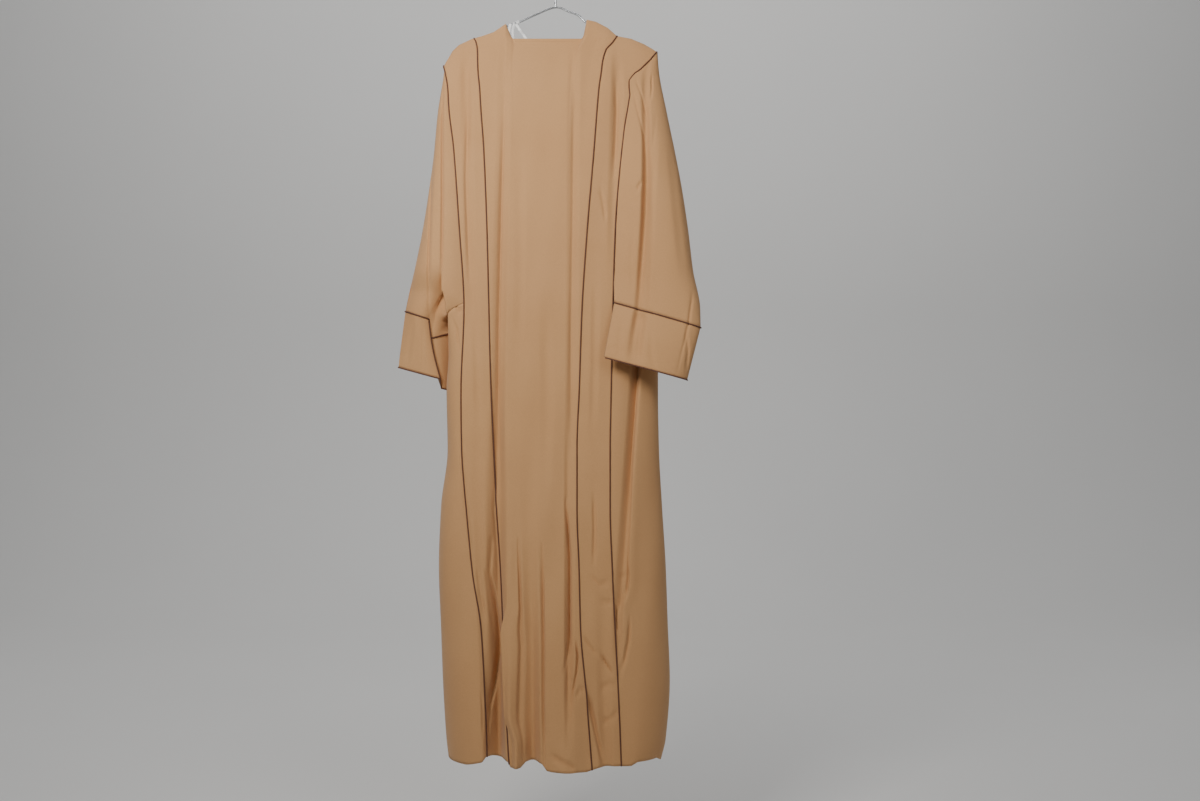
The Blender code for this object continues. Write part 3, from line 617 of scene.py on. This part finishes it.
# Below the knee the centre panel's fold leans over the left seam and hides it
centre = grids["centre"]
drop = -centre[..., 2]
fromSeam = centre[..., 0] - centre[:, :1, 0]
lean = rise(drop, *back["leanFrom"]) * fall(drop, *back["leanTo"])
lean = back["overhang"] * lean * smooth(fromSeam / back["leanReach"])
centre[..., 0] -= lean * fall(fromSeam, *back["leanAcross"])

wholeBack = np.concatenate([grids["left"], centre[:, 1:], grids["right"][:, 1:]], axis=1)
backNormals = normalsOf(wholeBack)
leftColumn = grids["left"].shape[1] - 1
rightColumn = leftColumn + centre.shape[1] - 1
sheetOf("backSidePanelLeft", grids["left"])
sheetOf("backCentrePanel", centre)
sheetOf("backSidePanelRight", grids["right"])


# Sides, wrapped from the back seam round to the front seam
sidePanel = {
    "turns": [turn * 0.75 for turn in range(0, 80)] + list(range(60, 100, 2)) + list(range(100, 181, 5)),
    "frontUnderarm": {"Left": 704.0, "Right": 540.0},
    "gap": -0.8,
    "rows": 146,
    "foldedEdge": [
        (775, 160), (821, 158), (898, 152), (955, 148), (1070, 144), (1147, 140), (1176, 142),
        (1204, 139), (1227, 129), (1247, 119),
    ],
    "edgeFrom": (700, 60), "edgeTo": (1262, 70), "edgeDepth": 9.0, "edgeReach": 8.0, "edgeWidth": 2.0,
    "rollHeight": 1.5, "rollX": 8.0, "rollReach": 9.0,
    "puff": 40.0, "puffUntil": (790, 130), "puffTurn": (76, 34),
    "behind": (100, 30), "edgeTurn": 3.0,
    "cut": {"Left": ((0.24, 0.88), 0.17), "Right": ((0.30, 0.99), 0.25)},
}


def sidePoint(side, turn, drop, level):
    seam = seamX("outer" + side, drop)
    reach = curve(body["sides"], drop, 1 if side == "Left" else 2) - seam
    angle = np.radians(turn)
    across = seam + reach * np.sin(angle)
    backWay, frontWay = [
        -depthFrom(seam, drop, level) + foldDepth(folds, across, drop) - foldDepth(folds, seam, drop)
        for depthFrom, folds in ((backDepth, backFolds), (frontDepth, frontFolds))
    ]
    depth = np.where(np.asarray(turn) <= 90, backWay, frontWay) * np.cos(angle)
    if side == "Left":  # it puffs towards the viewer where the sleeve joins it
        full = fall(np.asarray(drop, float), *sidePanel["puffUntil"])
        full = full * (1 - rise(np.asarray(turn, float), *sidePanel["puffTurn"]))
        depth = depth - sidePanel["puff"] * (1 - np.cos(angle)) * full
    return pointsOf(across, depth, -drop)


def sideTop(side, turn):
    back, front = body["underarm"], sidePanel["frontUnderarm"][side]
    return back + (front - back) * np.asarray(turn) / 180


def foldedEdge(across, drop):  # cloth left of the edge drops back behind it
    away = line(sidePanel["foldedEdge"], drop, 1) - across
    shown = rise(drop, *sidePanel["edgeFrom"]) * fall(drop, *sidePanel["edgeTo"])
    behind = np.exp(-away / sidePanel["edgeReach"])
    before = smooth(1 + away / sidePanel["edgeWidth"])
    roll = np.exp(-((-away - sidePanel["rollX"]) / sidePanel["rollReach"]) ** 2)
    step = sidePanel["edgeDepth"] * np.where(away > 0, behind, before)
    return shown * (step - sidePanel["rollHeight"] * roll)


def sideGrid(side):
    turns = np.array(sidePanel["turns"], float)[None, :]
    top = sideTop(side, turns) + sidePanel["gap"]
    drop = top + (body["hem"] - top) * np.linspace(0, 1, sidePanel["rows"])[:, None]
    grid = sidePoint(side, np.broadcast_to(turns, drop.shape), drop, drop)
    behind = fall(turns, *sidePanel["behind"])
    grid[..., 1] += (press(grid, backCreases) + uneven(grid[..., 0], drop)) * behind
    if side == "Right":
        grid[..., 1] += foldedEdge(grid[..., 0], drop) * behind * smooth(turns / sidePanel["edgeTurn"])
    lift = grid.copy()
    hemLift(lift)
    grid[..., 2] += (lift[..., 2] - grid[..., 2]) * behind
    return grid


for side in ("Left", "Right"):
    grid = sideGrid(side)
    if side == "Left":
        grid = grid[:, ::-1]
    sheetOf("sidePanel" + side, grid)


# Open fronts
fronts = {
    "Left": {"tops": (-97, -217), "edge": 1, "cut": ((0.15, 1.42), 0.2), "gaps": (0, seamGap)},
    "Right": {"tops": (61, 198), "edge": 2, "cut": ((0.15, 1.42), 0.18), "gaps": (seamGap, 0)},
    "columns": 48, "rowStep": 8.0, "neckEnd": 3.0, "wavesAside": 300,
}


def frontGrid(side):
    piece = fronts[side]
    tops = np.linspace(*piece["tops"], fronts["columns"] + 1)
    share = np.linspace(0, 1, fronts["columns"] + 1)[None, :]
    level = levels(fronts["rowStep"])[:, None]
    drop = rowDrop(line(body["top"], tops, 1)[None, :], level)
    edge = curve(body["frontEdges"], drop, piece["edge"])
    across = edge + (seamX("outer" + side, drop) - edge) * share
    depth = frontDepth(across, drop, level, np.where(share == 0, fronts["neckEnd"], 0.0))
    depth = depth - uneven(across + fronts["wavesAside"], drop) * smooth(level / body["settledAt"])
    return pointsOf(across, depth, -drop)


frontGrids = {}
for side in ("Left", "Right"):
    grid = frontGrid(side)
    if side == "Right":
        grid = grid[:, ::-1]
    frontGrids[side] = grid
    sheetOf("frontPanel" + side, grid, fronts[side]["gaps"])


# Sleeves, from the armhole's back edge round the outer fold to its front edge
sleeves = {
    "Right": {
        # share, outerY, backBulge, frontBulge
        "rows": [(0.0, 0, 0, 0), (0.2, -2, 8, 8), (0.4, -6, 18, 10), (0.6, -14, 26, 12), (0.8, -34, 32, 10),
                 (1.0, -72, 26, 2)],
        # share, depth, across
        "valley": [(0.0, 0, 178), (0.2, 6, 175), (0.4, 12, 176), (0.6, 14, 174), (0.8, 12, 168),
                   (1.0, 8, 160)],
        "endDrop": 703, "top": (199, 163), "armholeTop": 162.0, "standOff": (2.5, -6, 0), "sideColumn": 4,
    },
    "Left": {
        "rows": [(0.0, 0, 0, 0), (0.2, 0, 3, 6), (0.4, 1, 6, 10), (0.6, 2, 10, 12), (0.8, 4, 16, 14),
                 (1.0, 4, 24, 14)],
        "endDrop": 667, "top": (-218, 190), "armholeTop": 189.0, "standOff": (-8, 5, 0), "sideColumn": 3,
    },
    "columns": 90, "turnRows": 30, "standOffRows": 10, "turnRound": 0.8,
    "headRoom": 2.5,  # the head of a sleeve always reaches a little past the armhole
    "valleyReach": 11.0, "valleyEnds": 4, "endApart": 1.2, "unevenShare": 0.7, "settle": 5,
    "cut": {"Left": ((0.27, 0.48), 0.095), "Right": ((0.36, 0.50), 0.145)},
}


def backSeamPoint(side, drop, level):
    across = float(seamX("outer" + side, drop))
    return np.array([across, -float(backDepth(across, drop, level)), -drop])


def frontSeamPoint(side, drop):
    level = float(levelOf(drop, sleeves[side]["armholeTop"]))
    across = float(seamX("outer" + side, drop))
    return np.array([across, float(frontDepth(across, drop, level)), -drop])


def underarmPoint(side, turn):
    low = float(sideTop(side, turn))
    return sidePoint(side, turn, low, low)


def sleeveEdges(side):  # share of the way down, a point of the back edge and one of the front edge
    piece = sleeves[side]
    top, turnRound, underarm = piece["armholeTop"], sleeves["turnRound"], body["underarm"]
    frontHeight = sidePanel["frontUnderarm"][side] - top
    found = []
    for level in [level for level in levels(body["rowStep"]) if 0 < level < underarm] + [underarm]:
        drop = float(rowDrop(top, level))
        share = (drop - top) / (underarm - top)
        near = backSeamPoint(side, drop, level)
        if side == "Left":
            share = turnRound * share
            far = frontSeamPoint(side, top + frontHeight * share)
        elif share < turnRound:
            far = frontSeamPoint(side, top + frontHeight * share / turnRound)
        else:
            far = underarmPoint(side, 180 * (1 - (share - turnRound) / (1 - turnRound)))
        found.append((share, near, far))
    if side == "Left":
        for step in range(1, sleeves["turnRows"] + 1):
            reached = step / sleeves["turnRows"]
            share = turnRound + (1 - turnRound) * reached
            far = frontSeamPoint(side, top + frontHeight * share)
            found.append((share, underarmPoint(side, 180 * reached), far))
    count = sleeves["standOffRows"]  # the last rows stand off the body, where the cuff begins
    for step in range(count):
        share, near, far = found[-1 - step]
        off = np.array(piece["standOff"], float) * (1 - step / count)
        found[-1 - step] = (share, near + off, far + off)
    return found


# The outer half of the left sleeve lies over its inner half
leftOverlap = {
    # drop, across of the fold, across of the body's edge
    "run": [
        (190, -217, -217), (300, -219, -217), (450, -217.5, -217), (560, -217, -217), (632, -217, -216),
        (657, -231, -211), (682, -245, -207), (714, -243, -202), (733, -237, -197), (747, -229, -196),
        (776, -221, -196), (801, -214, -196), (823, -208, -196), (860, -200, -196),
    ],
    "foldY": [(600, -36), (640, -28), (683, -23), (740, -17), (810, -12)],
    "leastShare": 0.25, "foldHalf": 0.6, "tuckedColumns": 40, "crowding": 1.3,
    "outerFrom": (575, 60), "flatness": 2.4, "hollow": 3.0, "roll": 7.0, "rollReach": 0.16,
    "tuckedFrom": (632, 5), "tuckedBy": 15.0, "joinedFrom": (8, 14), "edgeWidth": 1.5,
    "crease": 3.0, "creaseFrom": (210, 60), "creaseReach": 0.07,
    "lowerFrom": (650, 32), "lowerBy": 38.0, "lowerFade": 1.05, "hemLowerBy": 18.0,
}


# One row of the left sleeve or cuff: its inner half, then its outer half from the fold to the outer edge
def layered(near, far, plainDepth, outerY, lowered, lowerFade):
    look = leftOverlap
    fold = far[0]
    for _ in range(6):
        share = (fold - near[0]) / (far[0] - near[0])
        fold = float(line(look["run"], -(near[2] + (far[2] - near[2]) * share), 1))
        fold = min(fold, near[0] + look["leastShare"] * (far[0] - near[0]))
        fold = max(fold, far[0] + look["leastShare"] * (near[0] - far[0]))
    inner, half = look["tuckedColumns"], look["foldHalf"]
    outer = sleeves["columns"] - inner
    across = np.concatenate([
        near[0] + (fold + half - near[0]) * (1 - (1 - np.arange(inner) / (inner - 1)) ** look["crowding"]),
        fold - half + (far[0] - fold + half) * np.sin(np.arange(outer) / outer * np.pi / 2),
    ])
    share = np.clip((across - near[0]) / (far[0] - near[0]), 0, 1)
    height = near[2] + (far[2] - near[2]) * share
    drop = -height
    foldY = line(look["foldY"], drop, 1)
    toOuter = np.clip((fold - across) / (fold - far[0]), 0, 1)
    toNear = np.clip((across - fold) / (near[0] - fold), 0, 1)
    over = foldY + (outerY - foldY) * toOuter ** look["flatness"] - look["hollow"] * np.sin(np.pi * toOuter)
    over = over + look["roll"] * np.exp(-toOuter / look["rollReach"])
    under = foldY + look["tuckedBy"] + (near[1] - foldY - look["tuckedBy"]) * toNear**2
    begun = rise(drop, *look["outerFrom"])
    onBody = smooth((across - line(look["run"], drop, 2)) / look["edgeWidth"])
    onBody = onBody * float(rise(-near[1], *look["joinedFrom"]))
    tucked = rise(drop, *look["tuckedFrom"]) * (1 - onBody)
    plain = plainDepth(share)
    isInner = np.arange(len(across)) < inner
    crease = look["crease"] * rise(drop, *look["creaseFrom"]) * (1 - begun)
    crease = crease * np.exp(-toNear / look["creaseReach"])
    innerDepth = plain * (1 - tucked) + under * tucked + crease
    depth = np.where(isInner, innerDepth, plain * (1 - begun) + over * begun)
    lower = lowered * (1 - lowerFade * toNear) * rise(drop, *look["lowerFrom"])
    return pointsOf(across, depth, height - np.where(isInner, lower, 0))


def arc(start, end, shares, bulge):  # from start to end, each axis by its own share
    points = start + (end - start) * np.stack(shares, axis=-1)
    points[:, 1] += bulge
    return points


def sleeveRow(side, share, near, far):
    piece = sleeves[side]
    outerY, backBulge, frontBulge = (float(curve(piece["rows"], share, column)) for column in (1, 2, 3))
    outerDrop = piece["top"][1] + (piece["endDrop"] - piece["top"][1]) * share
    outer = np.array([float(curve(body["sides"], outerDrop, piece["sideColumn"])), outerY, -outerDrop])
    part = np.arange(sleeves["columns"] + 1) / sleeves["columns"]
    turned, reached, arch = np.sin(part * np.pi / 2), 1 - np.cos(part * np.pi / 2), np.sin(np.pi * part)
    if side == "Left":
        outer[0] = min(outer[0], near[0] - sleeves["headRoom"])

        def plainDepth(along):
            at = np.arcsin(along)
            return near[1] + (outerY - near[1]) * (1 - np.cos(at)) - backBulge * np.sin(2 * at)

        first = layered(near, outer, plainDepth, outerY, leftOverlap["lowerBy"], leftOverlap["lowerFade"])
    else:
        outer[0] = max(outer[0], near[0] + sleeves["headRoom"])
        valley, valleyX = (float(curve(piece["valley"], share, column)) for column in (1, 2))
        first = arc(near, outer, (turned, reached, turned), -backBulge * arch)[:-1]
        ends = smooth(part * sleeves["valleyEnds"]) * smooth((1 - part) * sleeves["valleyEnds"])
        first[:, 1] += valley * bell(np.abs(first[:, 0] - valleyX) / sleeves["valleyReach"]) * ends[:-1]
    return np.concatenate([first, arc(outer, far, (reached, turned, reached), frontBulge * arch)])


sleeveCreases = {
    "Right": [
        ([(147, 226), (154, 260), (164, 299), (172, 338), (174, 388)], 2.6, 5, 4, 1),
        ([(153, 214), (164, 241), (172, 270), (180, 299)], 2, 5, 4, 1),
        ([(187, 210), (187, 241), (183, 264)], 3, 4, 4, 1),
        ([(195, 299), (187, 357), (183, 434), (182, 512), (178, 589), (174, 653), (170, 720)], 2.4, 9, 5, 1),
        ([(190, 330), (182, 434), (178, 540), (172, 640), (166, 720)], 5, 20, 14, 0),
        ([(153, 438), (160, 434), (166, 421)], 6, 4, 4, 1),
        ([(129, 446), (145, 461), (164, 459)], 2.2, 6, 6, 0),
        ([(263, 639), (257, 676), (253, 709)], 3.5, 5, 4, 1),
        ([(222, 330), (232, 460), (244, 600)], 1.8, 12, 12, 0),
        ([(150, 520), (146, 580), (150, 640)], 2, 8, 8, 0),
    ],
    "Left": [
        ([(-237, 304), (-241, 431), (-243, 567), (-245, 670)], 5, 3.5, 8, 1),
        ([(-217, 214), (-219, 314), (-217, 450), (-217, 632)], 4, 4, 7, 1),
        ([(-264, 353), (-274, 489), (-284, 645)], 2, 9, 9, 0),
    ],
}


def sleeveGrid(side):
    grid = np.array([sleeveRow(side, *found) for found in sleeveEdges(side)])
    meet, apart = (grid[-1, 0] + grid[-1, -1]) / 2, np.array([0, sleeves["endApart"], 0])
    grid[-1, 0], grid[-1, -1] = meet - apart, meet + apart
    count = sleeves["columns"]
    part = np.concatenate([np.arange(count) / count, 1 - np.arange(count + 1) / count])[None, :]
    behind = np.concatenate([np.ones(count), -np.ones(count + 1)])[None, :]
    waves = uneven(grid[..., 0], -grid[..., 2]) * behind * sleeves["unevenShare"]
    pressed = press(grid, sleeveCreases[side]) * (behind > 0)
    grid[..., 1] += (pressed + waves) * smooth(part * sleeves["settle"])
    return grid


sleeveGrids = {}
for side, gaps in (("Left", (2 * seamGap, seamGap)), ("Right", (seamGap, 2 * seamGap))):
    grid = sleeveGrid(side)
    sleeveGrids[side] = grid
    if side == "Left":
        grid = grid[:, ::-1]
    sheetOf("sleeve" + side, grid, gaps)


# Cuff bands
cuffs = {
    # inner corner, outer corner, bulge at the back and at the front
    "Right": ((94, -80, -759), (252, -78, -802), 24, 18),
    "Left": ((-196, 54, -824), (-307, 6, -776), 24, 16),
    "rings": 26, "gap": 0.5, "sag": 2.0, "lowerFrom": (0.84, 0.14),
    "bow": 3.5, "bowReach": 16.0, "settle": 8,
}
cuffCreases = {
    "Right": [
        ([(168, 663), (162, 708), (158, 746), (157, 776)], 3, 4, 14, 1),
        ([(164, 663), (158, 708), (153, 746), (150, 776)], 6, 17, 20, 0),
        ([(102, 742), (113, 740), (132, 748)], 2.5, 3, 4, 1),
        ([(181, 718), (185, 765), (191, 791)], 1.5, 9, 9, 0),
        ([(249, 708), (253, 746), (249, 788)], 2.5, 6, 5, 0),
        ([(128, 690), (124, 730), (122, 765)], 1.5, 9, 9, 0),
    ],
    "Left": [
        ([(-276, 690), (-282, 730), (-290, 776)], 1.5, 9, 9, 0),
        ([(-256, 700), (-257, 740), (-254, 780)], 1.2, 6, 6, 0),
    ],
}


def cuffGrid(side):
    inner, outer, backBulge, frontBulge = cuffs[side]
    inner, outer = np.array(inner, float), np.array(outer, float)
    count = sleeves["columns"]
    part = np.arange(count) / count
    turned, reached, arch = np.sin(part * np.pi / 2), 1 - np.cos(part * np.pi / 2), np.sin(np.pi * part)
    second = arc(outer, inner, (reached, part, reached), frontBulge * arch)
    second[:, 2] += cuffs["sag"] * arch
    if side == "Left":
        below = leftOverlap["hemLowerBy"]
        first = layered(inner + (0, 0, below), outer, lambda share: inner[1] + (outer[1] - inner[1]) * share,
                        outer[1], below, 0.0)
        second[:, 2] -= below * (rise(reached, *cuffs["lowerFrom"]) - reached)
    else:
        first = arc(inner, outer, (turned, part, turned), -backBulge * arch)
    hem = np.concatenate([first, second])
    seam = sleeveGrids[side][-1][:-1]
    start = seam + unit(hem - seam) * cuffs["gap"]
    share = np.linspace(0, 1, cuffs["rings"] + 1)[:, None]
    rings = start[None] + (hem - start)[None] * share[..., None]
    behind = (np.arange(len(hem)) < count) * 1.0
    if side == "Left":  # the fold of the outer half bows to the left on its way down
        fromFold = np.abs(np.arange(len(hem)) - leftOverlap["tuckedColumns"])
        bow = np.sin(np.pi * share) * np.exp(-fromFold / cuffs["bowReach"])
        rings[..., 0] -= cuffs["bow"] * bow * behind
    rings[..., 1] += press(rings, cuffCreases[side]) * behind * smooth(share * cuffs["settle"])
    return rings


cuffGrids = {}
for side in ("Left", "Right"):
    grid = cuffGrid(side)
    if side == "Left":
        grid = grid[:, ::-1]
    cuffGrids[side] = grid
    sheetOf("cuff" + side, grid, (0, 0), cuffCloth, closed=True)


# Round cords and wires along a run of points
def roundRun(name, points, radius, material, nodes=None, sides=4):
    bpy.ops.curve.primitive_nurbs_path_add()
    piece = bpy.context.object
    piece.name = name
    run = piece.data
    run.name = name
    run.splines.clear()
    run.dimensions = "3D"
    run.bevel_depth = radius * mm
    run.bevel_resolution = sides
    run.use_fill_caps = True
    spline = run.splines.new("POLY")
    spline.points.add(len(points) - 1)
    coordinates = np.c_[np.array(points) * mm, np.ones(len(points))]
    spline.points.foreach_set("co", coordinates.reshape(-1))
    bpy.ops.object.convert(target="MESH")
    piece = bpy.context.object
    piece.data.materials.clear()
    piece.data.materials.append(material)
    settle(piece, nodes)


piping = {
    "radius": 1.3, "sunk": 0.3, "firstRow": 2, "cuffSunk": 0.2, "hemOut": 0.3, "hemPlace": (0, 0, -0.9),
    "foldRadius": 1.04, "foldPlace": (0.8, -0.6, 0),
}


def pipe(name, points):
    roundRun(name, points, piping["radius"], brownPiping)


def pipeAlong(name, grid, normals, column):
    points = grid[:, column] + normals[:, column] * (piping["radius"] - piping["sunk"])
    pipe(name, points[piping["firstRow"]:])


seams = ("OuterLeft", "InnerLeft", "InnerRight", "OuterRight")
for name, column in zip(seams, (0, leftColumn, rightColumn, -1)):
    pipeAlong("pipingBack" + name, wholeBack, backNormals, column)
for side in ("Left", "Right"):
    grid = frontGrids[side]
    normals = normalsOf(grid)
    edge, seam = (0, -1) if side == "Left" else (-1, 0)
    pipeAlong("pipingFrontEdge" + side, grid, normals, edge)
    pipeAlong("pipingFrontOuter" + side, grid, normals, seam)
    ring = cuffGrids[side]
    normals = normalsOf(ring, True)
    seamRun = ring[0] + normals[0] * (piping["radius"] - piping["cuffSunk"])
    pipe("pipingCuffSeam" + side, seamRun[:-1])
    hemRun = ring[-1] + normals[-1] * piping["hemOut"] + np.array(piping["hemPlace"])
    pipe("pipingCuffHem" + side, hemRun[1:])
foldRun = cuffGrids["Left"][1:, -1 - leftOverlap["tuckedColumns"]] + np.array(piping["foldPlace"])
roundRun("pipingCuffFoldLeft", foldRun, piping["foldRadius"], brownPiping, [])
print("piping made")


# Wire hanger
hanger = {
    "radius": 2.0, "under": 5.5, "hookRadius": 16.0, "apexDrop": 75.0, "stem": (74, 62, 48),
    "hookTurns": (-60, 181, 10), "steps": 8, "hookSteps": 3, "sides": 6,
    "openLeft": [(-0.2, 75), (-8, 76), (-38, 89), (-69, 103)],
    "openRight": [(0.2, 75), (8, 76), (28, 84), (46, 91.5)],
    "shoulderLeft": [-97, -112, -135, -161, -178],
    "shoulderRight": [61, 79, 100, 120, 140, 160, 168],
    "bendLeft": [(-184, 155), (-187, 162), (-181, 169), (-160, 172)],
    "bendRight": [(148, 172), (168, 169), (175, 162), (174, 155)],
}


def rounded(points, steps):  # a smooth run through the points
    points = np.array(points, float)
    run = []
    last = len(points) - 1
    for k in range(last):
        before, start, end, after = (points[min(max(k + off, 0), last)] for off in (-1, 0, 1, 2))
        for step in range(steps):
            t = step / steps
            bend = (2 * before - 5 * start + 4 * end - after) * t * t
            swing = (3 * start - before - 3 * end + after) * t * t * t
            run.append(0.5 * (2 * start + (end - before) * t + bend + swing))
    return np.array(run + [points[-1]])


def inPlane(flat):
    return [(x, 0, -drop) for x, drop in flat]


def underShoulder(places):
    run = np.array(inPlane(zip(places, line(body["top"], places, 1))))
    padded = np.concatenate([run[:1], run, run[-1:]])
    along = unit(padded[2:] - padded[:-2])
    normal = np.stack([along[:, 2], along[:, 1], -along[:, 0]], axis=-1)
    return list(run - normal * np.sign(normal[:, 2:]) * hanger["under"])


def wire(name, points, steps, nodes=None):
    roundRun(name, rounded(points, steps), hanger["radius"], brightWire, nodes, hanger["sides"])


leftArm = inPlane(hanger["openLeft"]) + underShoulder(hanger["shoulderLeft"])
rightArm = inPlane(hanger["openRight"]) + underShoulder(hanger["shoulderRight"])
wireRun = leftArm[::-1][:-2] + [(0, 0, -hanger["apexDrop"])] + rightArm[2:]
bar = [leftArm[-1]] + inPlane(hanger["bendLeft"]) + inPlane(hanger["bendRight"]) + [rightArm[-1]]
hookRun = [(0, 0, -drop) for drop in hanger["stem"]]
for turn in range(*hanger["hookTurns"]):
    angle = math.radians(turn)
    reach = hanger["hookRadius"] + hanger["radius"]
    hookRun.append((reach * math.cos(angle), 0, -hanger["hookRadius"] + reach * math.sin(angle)))
wire("hangerArms", wireRun, hanger["steps"], ["hanger_arm_left", "hanger_arm_right"])
wire("hangerBar", bar, hanger["steps"])
wire("hangerHook", hookRun, hanger["hookSteps"])
print("hanger made")

# Ribbon loop at the left of the neck, knotted round the wire
ribbon = {
    "width": 5.0, "thickness": 0.5, "columns": 9, "steps": 8,
    "knot": (-74, 0, -104.8), "knotAlong": (-28, 0, -9), "knotLength": 6.2, "knotTurns": 3,
    "knotSteps": 144, "strand": 0.95, "strandOut": 1.0,
    # across, depth, drop, turn about its own length
    "outer": [(-87, -3.4, 108, 8), (-89.5, -3.4, 115, -6), (-90.5, -3.6, 124, 10), (-90, -4.2, 134, -4),
              (-88.5, -5.4, 150, 0)],
    "middle": [(-80, -2.9, 107, 14), (-82.2, -3.0, 116, 24), (-83.2, -3.2, 126, 10), (-82.8, -4.0, 136, 18),
               (-82, -5.2, 149, 8)],
    "inner": [(-77, -3.6, 108, 30), (-72, -4.4, 116, -25), (-66, -5.0, 125, 35), (-59, -5.4, 135, -20),
              (-52, -6.0, 149, 20)],
}


def ribbonStrip(name, run, nodes=None):
    run = rounded(run, ribbon["steps"])
    middle = pointsOf(run[:, 0], run[:, 1], -run[:, 2])
    facing = np.array([0, -1.0, 0])
    side = unit(np.cross(unit(np.gradient(middle, axis=0)), facing))
    turn = np.radians(run[:, 3])[:, None]
    side = side * np.cos(turn) + facing * np.sin(turn)
    across = np.linspace(-0.5, 0.5, ribbon["columns"])
    grid = middle[:, None] - side[:, None] * across[None, :, None] * ribbon["width"]
    sheetOf(name, grid, (0, 0), whiteRibbon, False, ribbon["thickness"], nodes)


along = Vector(ribbon["knotAlong"]).normalized()
first = along.orthogonal().normalized()
second = along.cross(first)
reach = hanger["radius"] + ribbon["strandOut"]
coil = []
for step in range(ribbon["knotSteps"] + 1):
    share = step / ribbon["knotSteps"]
    angle = share * ribbon["knotTurns"] * 2 * math.pi
    out = first * math.cos(angle) + second * math.sin(angle)
    coil.append(Vector(ribbon["knot"]) + reach * out + along * (share - 0.5) * ribbon["knotLength"])
roundRun("ribbonKnot", coil, ribbon["strand"], whiteRibbon)
ribbonStrip("ribbonOuterStrand", ribbon["outer"])
ribbonStrip("ribbonMiddleStrand", ribbon["middle"], [])
ribbonStrip("ribbonInnerStrand", ribbon["inner"])

# Topstitching below the neckline
stitch = {
    "length": 2.6, "gap": 1.0, "radius": 0.28, "belowNeck": 7.5, "between": (-80, 50), "lift": 0.15,
    "segments": 6, "rings": 4, "tone": 0.86,
}


def stitchRow(name, points):
    lengths = np.concatenate([[0], np.cumsum(np.linalg.norm(np.diff(points, axis=0), axis=1))])
    pitch = stitch["length"] + stitch["gap"]
    bpy.ops.mesh.primitive_uv_sphere_add(
        segments=stitch["segments"], ring_count=stitch["rings"], radius=stitch["radius"] * mm)
    first = bpy.context.object
    first.name = name
    first.data.materials.append(threadLook)
    shape = np.array([vertex.co[:] for vertex in first.data.vertices]) * 1000
    count = int(lengths[-1] / pitch)
    copies = [first] + [first.copy() for _ in range(count - 1)]
    for number, piece in enumerate(copies):
        if number:
            piece.data = first.data.copy()
            bpy.context.collection.objects.link(piece)
        at = (number + 0.5) * pitch
        place, ahead = [
            np.array([np.interp(min(reached, lengths[-1]), lengths, points[:, axis]) for axis in range(3)])
            for reached in (at, at + 0.5)
        ]
        way = unit(ahead - place)
        along = (shape @ way)[:, None] * way * (stitch["length"] / 2 / stitch["radius"] - 1)
        moved = (shape + along + place) * mm
        piece.data.vertices.foreach_set("co", moved.astype(np.float32).reshape(-1))
        piece.data.update()
    bpy.ops.object.select_all(action="DESELECT")
    for piece in copies:
        piece.select_set(True)
    bpy.context.view_layer.objects.active = first
    bpy.ops.object.join()
    settle(first, [])


threadLook = clothMaterial("camel sewing thread", stitch["tone"])
onCentre = centre + normalsOf(centre) * stitch["lift"]
leftEnd, rightEnd = stitch["between"]
neckColumns = (onCentre[0, :, 0] > leftEnd) & (onCentre[0, :, 0] < rightEnd)
neckRow = int(np.searchsorted(levels(body["rowStep"]), stitch["belowNeck"]))
stitchRow("neckStitches", onCentre[neckRow, neckColumns])
print("ribbon and stitches made")

# Floor and backdrop in one sweep, and soft light
studio = {
    "floor": -1.78, "near": -8.0, "halfWidth": 8, "back": 4.2, "sweep": 1.4, "top": 4.5,
    "light": (0.74, 0.73, 0.71), "dark": (0.7104, 0.7008, 0.6816), "cloudScale": 1.6, "grainScale": 260.0,
    "rough": (0.9, 0.9), "bump": (0.1, 0.0005), "plain": {},
    "world": {"Color": (0.88, 0.93, 1.0, 1), "Strength": 0.14},
}
flatEnd = studio["back"] - studio["sweep"]
steps = [(studio["near"], 0.0), (flatEnd, 0.0)]
for degrees in range(6, 90, 6):
    angle = math.radians(degrees)
    steps.append((flatEnd + studio["sweep"] * math.sin(angle), studio["sweep"] * (1 - math.cos(angle))))
steps += [(studio["back"], studio["sweep"]), (studio["back"], studio["top"])]
sweep = bpy.data.meshes.new("floor")
corners = [(side * studio["halfWidth"], y, studio["floor"] + z) for y, z in steps for side in (-1, 1)]
sweep.from_pydata(corners, [], [(2 * k, 2 * k + 1, 2 * k + 3, 2 * k + 2) for k in range(len(steps) - 1)])
floor = bpy.data.objects.new("floor", sweep)
bpy.context.collection.objects.link(floor)
floorLook, tree, shader, place = newMaterial("pale studio paper")
cloud = noise(tree, place["Object"], studio["cloudScale"], 2.0)
grain = noise(tree, place["Object"], studio["grainScale"], 3.0)
dress(tree, shader, studio, tinted(tree, cloud, studio), grain, grain)
sweep.materials.append(floorLook)
finish(floor)


def softLight(name, place, aim, size, power, colour=(1, 1, 1)):
    bpy.ops.object.light_add(type="AREA", location=place)
    light = bpy.context.object
    light.name = name
    light.data.shape = "RECTANGLE"
    light.data.size, light.data.size_y = size
    light.data.energy = power
    light.data.color = colour
    light.rotation_euler = (Vector(aim) - Vector(place)).to_track_quat("-Z", "Y").to_euler()


softLight("keyLight", (-0.56, -1.2, 0.04), (0, 0, -0.45), (0.5, 0.5), 21, (1.0, 0.985, 0.96))
softLight("fillLight", (1.1, -1.8, 0.15), (0, 0, -0.35), (0.9, 0.9), 8.5)
softLight("backdropLight", (0, 1.2, 2.6), (0, 4.2, -0.9), (5.0, 1.0), 115)
world = bpy.data.worlds.new("studio")
bpy.context.scene.world = world
world.use_nodes = True
fill(world.node_tree, world.node_tree.nodes["Background"], studio["world"])
print("studio made")
